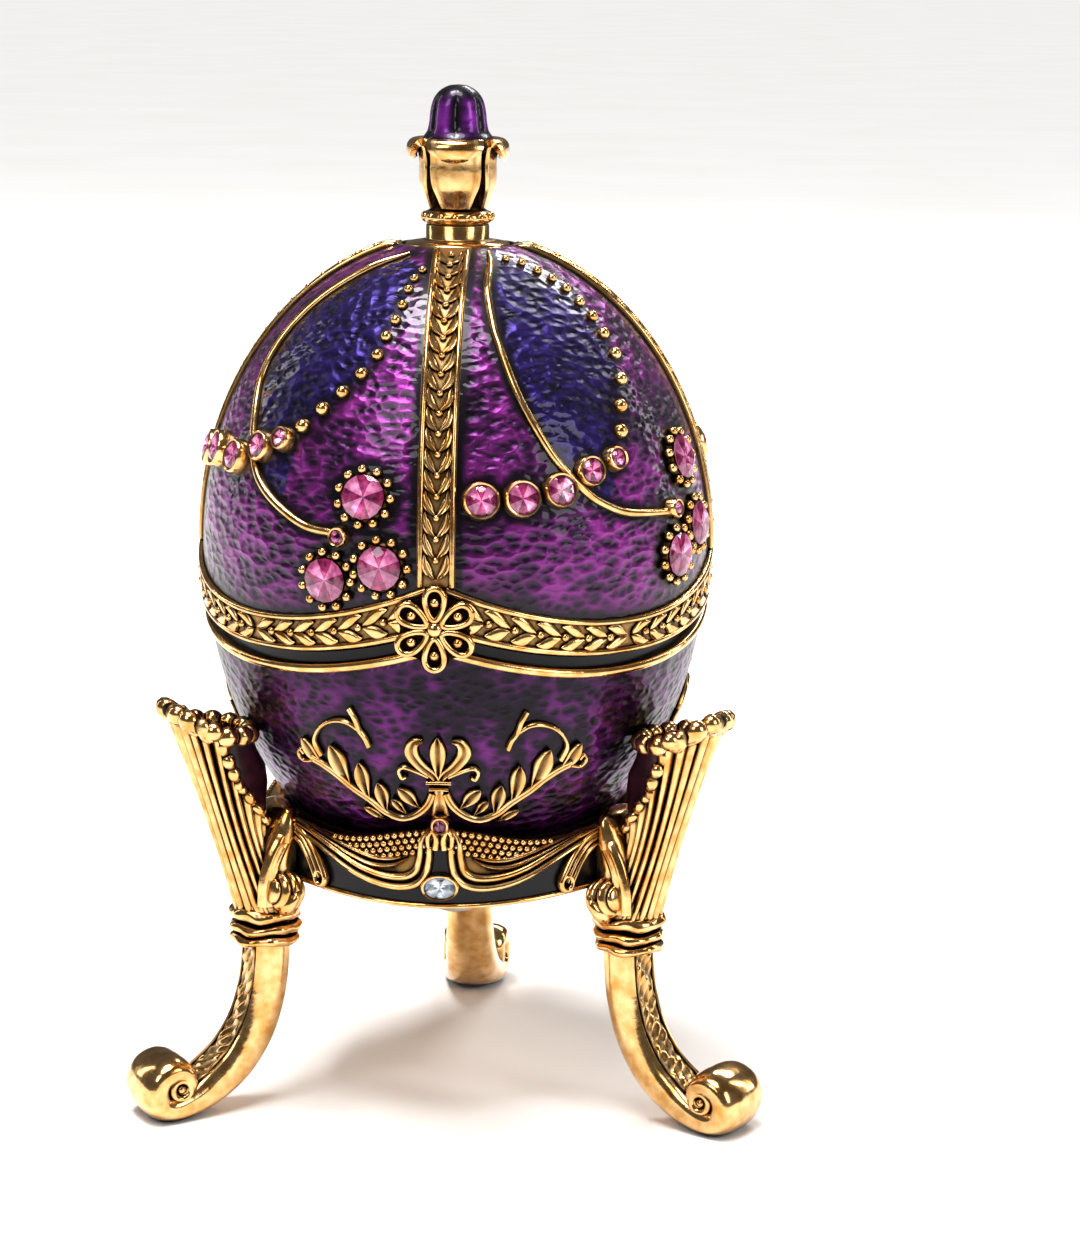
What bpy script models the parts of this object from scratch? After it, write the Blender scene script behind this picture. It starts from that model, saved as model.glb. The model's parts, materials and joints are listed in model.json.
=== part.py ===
"""Jewelled egg trinket box on a three-legged stand.

The egg opens at a scalloped girdle: a hollow enamelled lid lifts off a hollow bowl.
Four raised bands run from the girdle to the crown, where the finial sits in a shallow seat.
The bowl rests in a cup inside the stand's apron, held from below by one screw.
Lengths are millimetres, angles are degrees from the front (-Y) towards +X.
"""
import bpy
import bmesh
import math
import numpy as np
from mathutils import Matrix, Vector

MM = 0.001
GAP = 0.3                      # clearance between pieces that touch
FUSE = 0.4                     # how far parts of one casting run into each other
BREAK = 0.1                    # width of a setting's broken edge

# Stand
RAIL_HEIGHT = 29.6             # the apron's top edge above the table, on average
RAIL_CREST = 0.55              # how far the top edge swings up and down
RAIL_DIP = 0.25                # how much higher it is between the legs than at them
APRON_DROP = 7.1               # from the top edge down to the lower edge between the legs
APRON_RISE = 0.75              # how far the lower edge climbs towards each leg
APRON_WALL = 0.85              # wall at its thinnest, beside the egg
CUP_WALL = 1.3                 # the cup under the egg
LEGS = 3
MOULDING = 0.62                # half the width of the mouldings on the apron
MOULDING_DEEP = 0.72           # half their depth
MOULDING_STAND = 0.15          # how far their middle lies outside the apron's face
# Their lines: angle from the bay's middle, share of the apron's height
S_MOULDING = ((2.6, 1.01), (4.6, 0.97), (5.0, 0.79), (6.6, 0.56), (12, 0.44), (20, 0.45), (29, 0.59),
              (38, 0.79), (47, 0.9), (55, 0.92))
ARCH_MOULDING = ((36, 0.24), (40, 0.37), (45, 0.61), (50, 0.76), (55.5, 0.82))
COLLAR_RADIUS = 3.05           # the leg's round neck, under its shell
COLLAR_STEP = 0.45             # how far the two collar rings stand out
SHAFT_WIDE = 2.4               # half the shaft's width
SHAFT_DEEP = 2.3               # half its depth, front to back
FOOT_RADIUS = 3.45
FOOT_SINK = 0.25               # what the table's plane takes off the round foot
FOOT_WIDTH = 7.5
FOOT_SPREAD = 12.9             # from the apron's face out to the foot's middle
SHELL_HEIGHT = 18.2            # from the collar's top up to the middle of the shell's mouth
SHELL_MOUTH = 4.2              # half the mouth, in and out
SHELL_SIDE = 4.6               # half the mouth, side to side
SHELL_LEAN = 5.5               # how far the mouth stands out from the collar
SHELL_TILT = 0.46              # slope of the mouth's rim, higher outside
SHELL_WALL = 0.9
SHELL_CREST = 0.35             # how far each flute rises above the mouth's rim
FLUTES = 10
EAR_RADIUS = 1.9               # the small scrolls beside each knee
EAR_LENGTH = 3.0
EAR_INSET = 0.9                # their middle inside the collar's
CREST_STONE = 0.95             # radius of the setting on top of each bay
CREST_OUT = 1.15               # how far its face stands out from the apron
CREST_RISE = 0.6               # its middle above the apron's highest edge
APRON_STONE = 1.6              # radius of the setting in the middle of each bay
APRON_STONE_OUT = 0.7
APRON_STONE_RISE = 2.25        # its middle above the apron's lower edge

# Egg
EGG_ABOVE_RAIL = 25.9          # the widest level above the apron's top edge
EGG_RADIUS = 25.1
EGG_TOP = 30.2                 # from the widest level to the crown
EGG_BOTTOM = 35.0              # from the widest level to the lowest point
WALL = 1.5
CROWN_WALL = 3.2
FLOOR_WALL = 3.4
QUARTERS = 4
COLUMNS = 36                   # facets round the bowl and round the apron, so that they nest
BAY_COLUMNS = 7                # the lid's facet edges from band to band
RIM_LEVEL = -7.6               # the lid's lower edge between bands, from the widest level
RIM_SCALLOP = 3.2              # how far it climbs at each band
GIRDLE_HEIGHT = 3.5
GIRDLE_GROWTH = 1.2            # the girdle is this much taller at the bands
GIRDLE_RELIEF = 0.55
BAND_WIDTH = 3.6
BAND_RELIEF = 0.5
STEP = 0.25                    # width of the sloping side of a raised band
PAD_RADIUS = 5.9               # flat circle on the crown
NECK_HEIGHT = 1.3              # dark neck between the bowl's rim wire and the lid
NECK_RECESS = 0.8
WIRE_WIDTH = 0.95
WIRE_RELIEF = 0.45
LIP_HEIGHT = 1.3               # the bowl's lip inside the lid
LIP_WALL = 0.9

# Relief on the bowl, one group over each bay: angle from the bay's middle, height from the widest level
RELIEF = 0.5                   # how far it stands out, and about half its width
RELIEF_ROOT = 0.3              # how deep it is rooted in the wall
FLEUR_MIDDLE = ((0.0, -22.9), (0.0, -19.6), (0.0, -17.2), (0.0, -14.9))
FLEUR_SIDE = ((1.2, -19.3), (6.2, -18.2), (6.4, -15.7))
BRANCH = ((1.5, -21.4), (10.0, -23.8), (19.0, -22.6), (28.0, -19.6), (38.5, -18.4))
BRANCH_LEAVES = (((13.2, -23.1), (15.8, -21.4), (14.0, -20.0)), ((22.6, -21.2), (26.3, -19.2), (24.6, -17.4)))

# Finial, heights above its seat
FLANGE_RADIUS = 5.2
FLANGE_HEIGHT = 0.95
SEAT_DEPTH = 1.0
NECK_RADIUS = 2.95
RING_RADIUS = 3.4
CUP_HEIGHT = 9.6
CUP_RADIUS = 4.05
PETAL_REACH = 5.3
PETAL_VALLEY = 3.9
CURL = 1.1                     # height of the petals' curled tips
BUD_RADIUS = 2.95
FINIAL_HEIGHT = 16.1
GROOVES = 8

# Screw under the stand
SCREW_SHANK = 1.3
SCREW_HEAD = 2.7
SCREW_DOME = 1.5
SCREW_GRIP = 1.8               # how far the shank goes into the bowl's floor

# Settings for the stones on the lid
BOSS_HEIGHT = 0.75
STONE_HEIGHT = 0.8
SETTING_EDGE = 0.35            # a stone is this much smaller than its setting
LARGE = 2.4
SMALL = 1.0
SWAG = (1.8, 1.8, 1.7, 1.5, 1.2)
# Place of each stone: angle from the bay's left band, height above the widest level
EVEN_SWAG = ((9.6, 7.7), (18.6, 7.8), (27.5, 8.4), (35.6, 9.9), (43.1, 10.8))
EVEN_CLUSTER = ((68.2, 9.8), (71.5, 3.3), (61.0, 1.0))
EVEN_DROP = (60.5, 5.4)
ODD_SWAG = ((11.5, 9.4), (21.4, 9.9), (33.0, 9.8), (42.5, 11.2), (49.6, 12.2))
ODD_CLUSTER = ((73.9, 7.75), (65.8, -0.1), (78.1, 1.4))
ODD_DROP = (68.6, 4.0)

# The flower on the front of the girdle
ROSETTE_RADIUS = 3.9
ROSETTE_LOBES = 6
ROSETTE_THICK = 1.0
ROSETTE_RISE = 0.4             # its middle above the lid's lower edge
ROSETTE_STUB = 1.5             # radius of the post behind it
STUB_RISE = 2.0                # the post's middle above the flower's, so that it meets only the lid

EGG_LEVEL = RAIL_HEIGHT + EGG_ABOVE_RAIL


def clear_scene():
    for old in list(bpy.data.objects):
        bpy.data.objects.remove(old, do_unlink=True)


def finish(name, colour, metallic, roughness):
    """A plain material with the piece's own colour."""
    material = bpy.data.materials.new(name)
    material.use_nodes = True
    shader = material.node_tree.nodes["Principled BSDF"]
    shader.inputs["Base Color"].default_value = (*colour, 1.0)
    shader.inputs["Metallic"].default_value = metallic
    shader.inputs["Roughness"].default_value = roughness
    material.diffuse_color = (*colour, 1.0)
    return material


def polar(radius, angle, height):
    """Points from radius, angle in degrees from the front, and height."""
    turn = np.radians(angle)
    return np.stack(np.broadcast_arrays(radius * np.sin(turn), -radius * np.cos(turn), height), axis=-1)


def egg_slope(height):
    """The egg's own angle up from its widest level, in degrees, at a height."""
    rise = np.asarray(height, float) - EGG_LEVEL
    reach = np.where(rise > 0, EGG_TOP, EGG_BOTTOM)
    return np.degrees(np.arcsin(np.clip(rise / reach, -1.0, 1.0)))


def egg_ring(slope, lift=0.0):
    """Radius and height of the egg's skin at a slope, lifted along its normal."""
    tilt = np.radians(slope)
    reach = np.where(np.asarray(slope) > 0, EGG_TOP, EGG_BOTTOM)
    out = np.cos(tilt) / EGG_RADIUS
    up = np.sin(tilt) / reach
    length = np.hypot(out, up)
    radius = EGG_RADIUS * np.cos(tilt) + lift * out / length
    height = EGG_LEVEL + reach * np.sin(tilt) + lift * up / length
    return radius, height


def egg_radius(height):
    return EGG_RADIUS * np.cos(np.radians(egg_slope(height)))


def skin(angle, slope, lift=0.0):
    radius, height = egg_ring(slope, lift)
    return polar(radius, angle, height)


def hollow_ring(slope):
    """Radius and height of the inner skin: a smaller egg about the same level."""
    tilt = np.radians(slope)
    reach = np.where(np.asarray(slope) > 0, EGG_TOP - CROWN_WALL, EGG_BOTTOM - FLOOR_WALL)
    return (EGG_RADIUS - WALL) * np.cos(tilt), EGG_LEVEL + reach * np.sin(tilt)


def hollow_radius(height):
    """The inner skin's radius at a height."""
    rise = np.asarray(height, float) - EGG_LEVEL
    reach = np.where(rise > 0, EGG_TOP - CROWN_WALL, EGG_BOTTOM - FLOOR_WALL)
    return (EGG_RADIUS - WALL) * np.sqrt(1 - np.clip(rise / reach, -1.0, 1.0) ** 2)


def scallop(angle):
    """1 at each of the four bands, falling as a square to 0 midway between them."""
    period = 360 / QUARTERS
    half = period / 2
    away = np.abs((np.asarray(angle, float) + half) % period - half)
    return ((half - away) / half) ** 2


def lid_edge(angle):
    return EGG_LEVEL + RIM_LEVEL + RIM_SCALLOP * scallop(angle)


def girdle_top(angle):
    return lid_edge(angle) + GIRDLE_HEIGHT + GIRDLE_GROWTH * scallop(angle)


def bay_wave(angle):
    """1 midway between two legs, -1 at each leg."""
    return np.cos(np.radians(LEGS * np.asarray(angle, float)))


def rail_top(angle):
    return RAIL_HEIGHT + RAIL_DIP * bay_wave(angle) + RAIL_CREST * np.cos(np.radians(2 * LEGS * angle))


def apron_edge(angle):
    return RAIL_HEIGHT - APRON_DROP + APRON_RISE * (1 - bay_wave(angle)) / 2


def nest_slopes(angle):
    """Slopes of the rows that the bowl and its cup share, from the rail down to the screw hole."""
    rail = egg_slope(rail_top(angle))
    hole = -math.degrees(math.acos((SCREW_SHANK + GAP) / EGG_RADIUS))
    return [rail + share * (hole - rail) for share in (0.0, 0.25, 0.52, 0.8, 1.0)]


RAIL_PEAK = RAIL_HEIGHT + RAIL_DIP + RAIL_CREST
APRON_RADIUS = float(egg_radius(RAIL_PEAK)) + GAP + APRON_WALL
COLLAR_OUT = APRON_RADIUS + 0.72 * COLLAR_RADIUS    # the legs' necks overlap the apron
COLLAR_TOP = 0.69 * RAIL_HEIGHT
COLLAR_LOW = 0.56 * RAIL_HEIGHT
FOOT_OUT = APRON_RADIUS + FOOT_SPREAD
FOOT_LEVEL = FOOT_RADIUS - FOOT_SINK
PAD_SLOPE = math.degrees(math.acos(PAD_RADIUS / EGG_RADIUS))
PAD_LEVEL = float(egg_ring(PAD_SLOPE)[1])
SEAT_LEVEL = PAD_LEVEL - SEAT_DEPTH
SEAT_RADIUS = FLANGE_RADIUS + GAP
EGG_FOOT = EGG_LEVEL - EGG_BOTTOM


def grid_mesh(rows, start=None, end=None, wrap=False):
    """A skin through rows of points that each run round in a ring.

    start and end close the first and last ring with one point; wrap joins the
    last row to the first, as on a ring-shaped body.
    """
    rows = np.asarray(rows)
    count, columns = rows.shape[:2]
    points = [tuple(point) for point in rows.reshape(-1, 3)]
    faces = []
    joins = count if wrap else count - 1
    for row in range(joins):
        above = (row + 1) % count
        for column in range(columns):
            after = (column + 1) % columns
            faces.append((row * columns + column, row * columns + after,
                          above * columns + after, above * columns + column))
    for point, row in ((start, 0), (end, count - 1)):
        if point is None:
            continue
        points.append(tuple(point))
        pole = len(points) - 1
        faces += [(row * columns + column, row * columns + (column + 1) % columns, pole)
                  for column in range(columns)]
    mesh = bmesh.new()
    made = [mesh.verts.new(point) for point in points]
    for face in faces:
        mesh.faces.new([made[index] for index in face])
    bmesh.ops.recalc_face_normals(mesh, faces=mesh.faces)
    return mesh


def capped(rows):
    """A skin through rings whose first and last ring are each closed by one flat face."""
    mesh = grid_mesh(rows)
    bmesh.ops.holes_fill(mesh, edges=[edge for edge in mesh.edges if edge.is_boundary])
    bmesh.ops.recalc_face_normals(mesh, faces=mesh.faces)
    return mesh


def to_object(name, mesh, material, smooth=35):
    data = bpy.data.meshes.new(name)
    mesh.to_mesh(data)
    mesh.free()
    data.materials.append(material)
    made = bpy.data.objects.new(name, data)
    bpy.context.scene.collection.objects.link(made)
    data.shade_smooth()
    data.set_sharp_from_angle(angle=math.radians(smooth))
    return made


def joined(name, body, additions, material):
    """One casting: each addition is fused to the body, one after another, still in millimetres.

    Faces are cut into triangles first, because a union is only exact on flat faces.
    """
    for mesh in (body, *additions):
        bmesh.ops.triangulate(mesh, faces=mesh.faces)
    whole = to_object(name, body, material)
    for addition in additions:
        other = to_object(name + "_more", addition, material)
        union = whole.modifiers.new("fuse", "BOOLEAN")
        union.operation = "UNION"
        union.solver = "EXACT"
        union.object = other
        fused = bpy.data.meshes.new_from_object(
            whole.evaluated_get(bpy.context.evaluated_depsgraph_get()))
        whole.modifiers.clear()
        whole.data = fused
        bpy.data.objects.remove(other, do_unlink=True)
    whole.data.name = name
    return whole


def prism(centre, normal, up, radii, depths, sides, turn=0.0):
    """A round body along a normal: one radius for each depth, closed at both ends."""
    normal = Vector(normal).normalized()
    across = Vector(up).cross(normal).normalized()
    upward = normal.cross(across)
    spins = np.radians(turn + 360 / sides * np.arange(sides))
    ring = np.outer(np.cos(spins), across) + np.outer(np.sin(spins), upward)
    rows = [np.asarray(centre) + ring * radius + np.asarray(normal) * depth
            for radius, depth in zip(radii, depths)]
    return capped(rows)


def swept(path, normals, half_wide, half_deep, sides, first=45):
    """A bar along a path: an ellipse across it, half_deep along the given normals.

    first is the angle of the first edge, measured so that 90 lies on the outer side.
    """
    path = np.asarray(path, float)
    normals = np.asarray(normals, float)
    along = np.gradient(path, axis=0)
    along /= np.linalg.norm(along, axis=1, keepdims=True)
    side = np.cross(along, normals)
    side /= np.linalg.norm(side, axis=1, keepdims=True)
    out = np.cross(side, along)
    half_wide = np.broadcast_to(half_wide, len(path))
    half_deep = np.broadcast_to(half_deep, len(path))
    spins = np.radians(first + 360 / sides * np.arange(sides))
    rows = (path[:, None] + (half_wide[:, None, None] * np.cos(spins)[None, :, None]) * side[:, None]
            + (half_deep[:, None, None] * np.sin(spins)[None, :, None]) * out[:, None])
    return capped(rows)


def smooth_line(points, count):
    """A line through a few points, rounded off: a cubic through each stretch."""
    points = np.asarray(points, float)
    padded = np.vstack([2 * points[0] - points[1], points, 2 * points[-1] - points[-2]])
    place = np.linspace(0, len(points) - 1, count)
    index = np.minimum(place.astype(int), len(points) - 2)
    part = (place - index)[:, None]
    before, here, there, after = (padded[index + step] for step in range(4))
    return 0.5 * (2 * here + (there - before) * part
                  + (2 * before - 5 * here + 4 * there - after) * part ** 2
                  + (3 * here - before - 3 * there + after) * part ** 3)


def boss(angle, height, radius, sides):
    """A stone's setting: a low disc standing on the egg's skin, rooted inside its wall."""
    slope = float(egg_slope(height))
    centre = skin(angle, slope)
    normal = skin(angle, slope, 1.0) - centre
    return prism(centre, normal, (0, 0, 1), (radius, radius - BREAK),
                 (-WALL / 2, BOSS_HEIGHT), sides)


def stone(name, centre, normal, radius, sides, material):
    """A cut stone: flat back, sloping crown and a flat table."""
    return to_object(name, prism(centre, normal, (0, 0, 1), (radius, radius * 0.6),
                                 (GAP, GAP + STONE_HEIGHT), sides), material, 10)


def lid_stones():
    """Every stone on the lid as (name, angle, height, setting's radius)."""
    stones = []
    for bay in range(QUARTERS):
        left = bay * 360 / QUARTERS
        odd = bay % 2
        swag = ODD_SWAG if odd else EVEN_SWAG
        cluster = ODD_CLUSTER if odd else EVEN_CLUSTER
        drop = ODD_DROP if odd else EVEN_DROP
        for number, ((turn, rise), radius) in enumerate(zip(swag, SWAG)):
            stones.append((f"swag_stone_{bay + 1}_{number + 1}", left + turn, EGG_LEVEL + rise, radius))
        for number, (turn, rise) in enumerate(cluster):
            stones.append((f"large_stone_{bay + 1}_{number + 1}", left + turn, EGG_LEVEL + rise, LARGE))
        stones.append((f"drop_stone_{bay + 1}", left + drop[0], EGG_LEVEL + drop[1], SMALL))
    return stones


def sides_for(radius):
    return 8 if radius >= LARGE else 6


def rosette():
    """The looped flower at the front of the girdle, and the stub that joins it to the lid."""
    middle = float(lid_edge(0.0)) + ROSETTE_RISE
    slope = float(egg_slope(middle))
    centre = skin(0.0, slope)
    normal = np.array((0.0, -1.0, 0.0))
    spins = np.radians(360 / (4 * ROSETTE_LOBES) * np.arange(4 * ROSETTE_LOBES))
    reach = ROSETTE_RADIUS * (1 + 0.11 * np.cos(ROSETTE_LOBES * (spins - math.pi / 2)))
    across = np.stack([np.cos(spins), 0 * spins, np.sin(spins)], axis=-1)
    back = WIRE_RELIEF + 2 * GAP
    flower = capped([centre + across * (reach * share)[:, None] + normal * depth
                     for share, depth in ((0.97, back), (1.0, back + 0.4),
                                          (0.9, back + ROSETTE_THICK), (0.35, back + 0.8))])
    stub_at = centre + np.array((0, 0, STUB_RISE))
    stub = prism(stub_at, normal, (0, 0, 1), (ROSETTE_STUB, ROSETTE_STUB), (-WALL / 2, back + 0.5), 8)
    return [flower, stub]


def make_lid(gold):
    step_angle = 360 / QUARTERS

    def columns(slope_of, lift_bands, lift_rest):
        """One ring of the dome: three columns on each band, the rest spread between bands."""
        ring = []
        for quarter in range(QUARTERS):
            band = quarter * step_angle
            radius = float(egg_ring(np.mean(slope_of(np.array([band]))))[0])
            edge = math.degrees(math.asin(BAND_WIDTH / 2 / radius))
            foot = math.degrees(math.asin((BAND_WIDTH / 2 + STEP) / radius))
            between = np.linspace(foot, step_angle - foot, BAY_COLUMNS)
            angles = np.concatenate([[-edge, 0, edge], between]) + band
            lifts = np.concatenate([[lift_bands] * 3, [lift_rest] * len(between)])
            ring.append(skin(angles, slope_of(angles), lifts))
        return np.concatenate(ring)

    def dome_slope(share):
        return lambda angles: (egg_slope(girdle_top(angles))
                               + share * (PAD_SLOPE - egg_slope(girdle_top(angles))))

    crown = columns(lambda angles: 0 * angles + PAD_SLOPE, 0.0, 0.0)
    heading = np.degrees(np.arctan2(crown[:, 0], -crown[:, 1]))
    rows = [polar(SEAT_RADIUS, heading, SEAT_LEVEL), polar(SEAT_RADIUS, heading, PAD_LEVEL), crown]
    rows += [columns(dome_slope(share), BAND_RELIEF, 0.0) for share in np.linspace(0.97, 0.0, 7)]
    rows.append(columns(lambda angles: egg_slope(girdle_top(angles) - STEP), GIRDLE_RELIEF, GIRDLE_RELIEF))
    rows.append(columns(lambda angles: egg_slope(lid_edge(angles)), GIRDLE_RELIEF, GIRDLE_RELIEF))
    around = np.degrees(np.arctan2(rows[-1][:, 0], -rows[-1][:, 1]))
    edge = lid_edge(around)
    rows.append(polar(hollow_radius(edge), around, edge))
    low = np.degrees(np.arcsin((edge - EGG_LEVEL) / (EGG_BOTTOM - FLOOR_WALL)))
    for share in (0.35, 0.65, 0.88):
        radius, height = hollow_ring(low + share * (90 - low))
        rows.append(polar(radius, around, height))
    body = grid_mesh(rows, (0, 0, SEAT_LEVEL), (0, 0, EGG_LEVEL + EGG_TOP - CROWN_WALL))
    bosses = [boss(angle, height, radius, sides_for(radius)) for _, angle, height, radius in lid_stones()]
    return joined("lid", body, bosses + rosette(), gold)


def ridge(points, half_wide):
    """A raised line on the egg's skin, three-sided, through (angle, height) points."""
    angle, height = np.asarray(points, float).T
    slope = egg_slope(EGG_LEVEL + height)
    normals = skin(angle, slope, 1.0) - skin(angle, slope)
    return swept(skin(angle, slope, -RELIEF_ROOT), normals, half_wide, RELIEF + RELIEF_ROOT, 3, 90)


def bowl_relief(middle):
    """A lily above a bay, and a leafy branch sweeping out and up on each side of it."""
    leaf = np.array((0.5, 1.6, 0.3)) * RELIEF
    lily = np.array((1.0, 0.8, 1.8, 0.3)) * RELIEF
    parts = [ridge([(middle + angle, height) for angle, height in FLEUR_MIDDLE], lily)]
    for side in (-1, 1):
        for line in (FLEUR_SIDE, *BRANCH_LEAVES):
            parts.append(ridge([(middle + side * angle, height) for angle, height in line], leaf))
        branch = [(middle + side * angle, height) for angle, height in BRANCH]
        parts.append(ridge(branch, RELIEF * np.linspace(1.1, 0.6, len(branch))))
    return parts


def make_bowl(enamel):
    around = np.arange(COLUMNS) * 360 / COLUMNS
    edge = lid_edge(around)
    wire_top = edge - NECK_HEIGHT
    wire_foot = wire_top - WIRE_WIDTH
    hole = SCREW_SHANK + GAP
    hole_roof = EGG_FOOT + SCREW_GRIP + GAP
    rows = [polar(hole, around, hole_roof)]
    nest = nest_slopes(around)
    rows += [skin(around, slope) for slope in reversed(nest)]
    rows += [skin(around, nest[0] + share * (egg_slope(wire_foot) - nest[0])) for share in (0.35, 0.7, 1.0)]
    for share, lift in ((0.2, WIRE_RELIEF), (0.8, WIRE_RELIEF), (1.0, -NECK_RECESS)):
        rows.append(skin(around, egg_slope(wire_foot + share * WIRE_WIDTH), lift))
    ledge = edge - GAP
    lip = hollow_radius(edge) - GAP
    rows.append(polar(egg_radius(ledge) - NECK_RECESS, around, ledge))
    rows.append(polar(lip, around, ledge))
    rows.append(polar(lip, around, edge + LIP_HEIGHT))
    rows.append(polar(lip - LIP_WALL, around, edge + LIP_HEIGHT))
    rows.append(polar(lip - LIP_WALL, around, ledge - LIP_HEIGHT))
    low = np.degrees(np.arcsin((ledge - 2 * LIP_HEIGHT - EGG_LEVEL) / (EGG_BOTTOM - FLOOR_WALL)))
    for share in (0.0, 0.3, 0.6, 0.85):
        radius, height = hollow_ring(low + share * (-90 - low))
        rows.append(polar(radius, around, height))
    body = grid_mesh(rows, (0, 0, hole_roof), (0, 0, EGG_LEVEL - EGG_BOTTOM + FLOOR_WALL))
    relief = []
    for bay in range(LEGS):
        relief += bowl_relief(bay * 360 / LEGS)
    return joined("bowl", body, relief, enamel)


def make_finial(gold):
    columns = 3 * GROOVES
    around = np.arange(columns) * 360 / columns
    petal = 0.5 + 0.5 * np.cos(np.radians(QUARTERS * around))
    groove = 1 - 0.07 * (0.5 - 0.5 * np.cos(np.radians(GROOVES * around)))
    base = SEAT_LEVEL + GAP
    lip = PETAL_VALLEY + (PETAL_REACH - PETAL_VALLEY) * petal
    cup = CUP_HEIGHT
    profile = [
        (FLANGE_RADIUS, 0.0), (FLANGE_RADIUS, FLANGE_HEIGHT), (1.1 * NECK_RADIUS, 1.5 * FLANGE_HEIGHT),
        (NECK_RADIUS, 0.28 * cup), (RING_RADIUS, 0.31 * cup), (RING_RADIUS, 0.41 * cup),
        (1.02 * NECK_RADIUS, 0.46 * cup), (0.9 * CUP_RADIUS, 0.68 * cup), (CUP_RADIUS, 0.86 * cup)]
    rows = [polar(radius, around, base + height) for radius, height in profile]
    for inset, rise, lean in ((0.27, 0.0, 0.27), (0.0, 0.5, 0.32), (0.5, 1.0, 0.36)):
        rows.append(polar(lip - inset * CURL, around, base + cup + CURL * (rise + lean * petal)))
    rows.append(polar(BUD_RADIUS + 0.18 * CURL, around, base + cup + 0.82 * CURL))
    rows.append(polar(BUD_RADIUS, around, base + cup + 0.64 * CURL))
    bud_foot = base + cup + 1.1 * CURL
    bud_tall = base + FINIAL_HEIGHT - bud_foot
    for share in (0.0, 0.3, 0.6, 0.85):
        radius = BUD_RADIUS * (1 - share ** 2.4) ** 0.6
        rows.append(polar(radius * groove, around, bud_foot + share * bud_tall))
    body = grid_mesh(rows, (0, 0, base), (0, 0, base + FINIAL_HEIGHT))
    return to_object("finial", body, gold)


def apron():
    """The ring wall with its waved edges, and the cup inside it that carries the egg."""
    around = np.arange(COLUMNS) * 360 / COLUMNS
    top = rail_top(around)
    low = apron_edge(around)
    inner = APRON_RADIUS - 1.5 * APRON_WALL
    nest = nest_slopes(around)
    rows = [polar(APRON_RADIUS, around, low), polar(APRON_RADIUS, around, top)]
    rows += [skin(around, slope, GAP) for slope in nest]
    under = GAP + CUP_WALL
    start = egg_slope(top.min() - 2.5 * CUP_WALL)
    rows += [skin(around, start + share * (nest[-1] - start), under) for share in (1.0, 0.5)]
    radius, height = egg_ring(start, under)
    rows.append(polar(inner, around, height + 0 * around))
    rows.append(polar(inner, around, low))
    return grid_mesh(rows, wrap=True)


def on_apron(points, count):
    """A moulding's line on the apron's face, from (angle, share of the apron's height) points."""
    line = smooth_line(points, count)
    places = polar(APRON_RADIUS + MOULDING_STAND, line[:, 0], RAIL_HEIGHT + (line[:, 1] - 1) * APRON_DROP)
    return places, polar(1.0, line[:, 0], 0.0)


def bay_mouldings(middle):
    """On each side of a bay: an S moulding from a curl at the middle, and an arch at the leg."""
    parts = []
    for side in (-1, 1):
        for points, count in ((S_MOULDING, 9), (ARCH_MOULDING, 5)):
            turned = [(middle + side * angle, rise) for angle, rise in points]
            path, normals = on_apron(turned, count)
            parts.append(swept(path, normals, MOULDING, MOULDING_DEEP, 3, 90))
    return parts


def leg_frame(angle):
    """Unit directions of a leg's plane: outward, sideways, up."""
    out = polar(1.0, angle, 0.0)
    return out, np.array((-out[1], out[0], 0.0)), np.array((0.0, 0.0, 1.0))


def leg_point(angle, radius, height, side=0.0):
    out, across, up = leg_frame(angle)
    return out * radius + across * side + up * height


def shaft(angle):
    """The cabriole shaft: down from the collar, sweeping out into the foot."""
    reach = FOOT_OUT - COLLAR_OUT
    shape = smooth_line(((0.0, 1.02), (0.01, 0.8), (0.07, 0.55), (0.2, 0.33), (0.42, 0.14),
                         (0.72, 0.02), (0.95, 0.03)), 10)
    path = np.array([leg_point(angle, COLLAR_OUT + reach * out, FOOT_LEVEL * 0.75 + drop
                               * (COLLAR_LOW + FUSE - FOOT_LEVEL * 0.75)) for out, drop in shape])
    wide = SHAFT_WIDE * np.linspace(1.0, 1.2, len(path))
    deep = SHAFT_DEEP * np.linspace(1.0, 1.02, len(path))
    across = leg_frame(angle)[1]
    normals = np.cross(np.gradient(path, axis=0), across)
    return swept(path, normals, wide, deep, 7)


def foot(angle):
    """A round scroll lying across the leg, cut flat where it stands."""
    _, across, _ = leg_frame(angle)
    half = FOOT_WIDTH / 2
    centre = leg_point(angle, FOOT_OUT, FOOT_LEVEL)
    scroll = prism(centre, across, (0, 0, 1), (0.75 * FOOT_RADIUS, FOOT_RADIUS, FOOT_RADIUS,
                                               0.75 * FOOT_RADIUS),
                   (-half, -0.6 * half, 0.6 * half, half), 12)
    cut = bmesh.ops.bisect_plane(scroll, geom=scroll.verts[:] + scroll.edges[:] + scroll.faces[:],
                                 plane_co=(0, 0, 0), plane_no=(0, 0, -1), clear_outer=True)
    rim = [item for item in cut["geom_cut"] if isinstance(item, bmesh.types.BMEdge)]
    bmesh.ops.edgeloop_fill(scroll, edges=rim)
    bmesh.ops.recalc_face_normals(scroll, faces=scroll.faces)
    return scroll


def collar(angle):
    """Two rings round the neck of the leg."""
    tall = COLLAR_TOP - COLLAR_LOW
    rings = ((0.0, 0.6), (0.4, 1.0), (0.5, 0.2), (0.65, 1.1), (1.0, 1.1))
    centre = leg_point(angle, COLLAR_OUT, COLLAR_LOW)
    radii = [COLLAR_RADIUS + COLLAR_STEP * stand for _, stand in rings]
    return prism(centre, (0, 0, 1), leg_frame(angle)[0], radii, [share * tall for share, _ in rings], 10)


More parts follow.
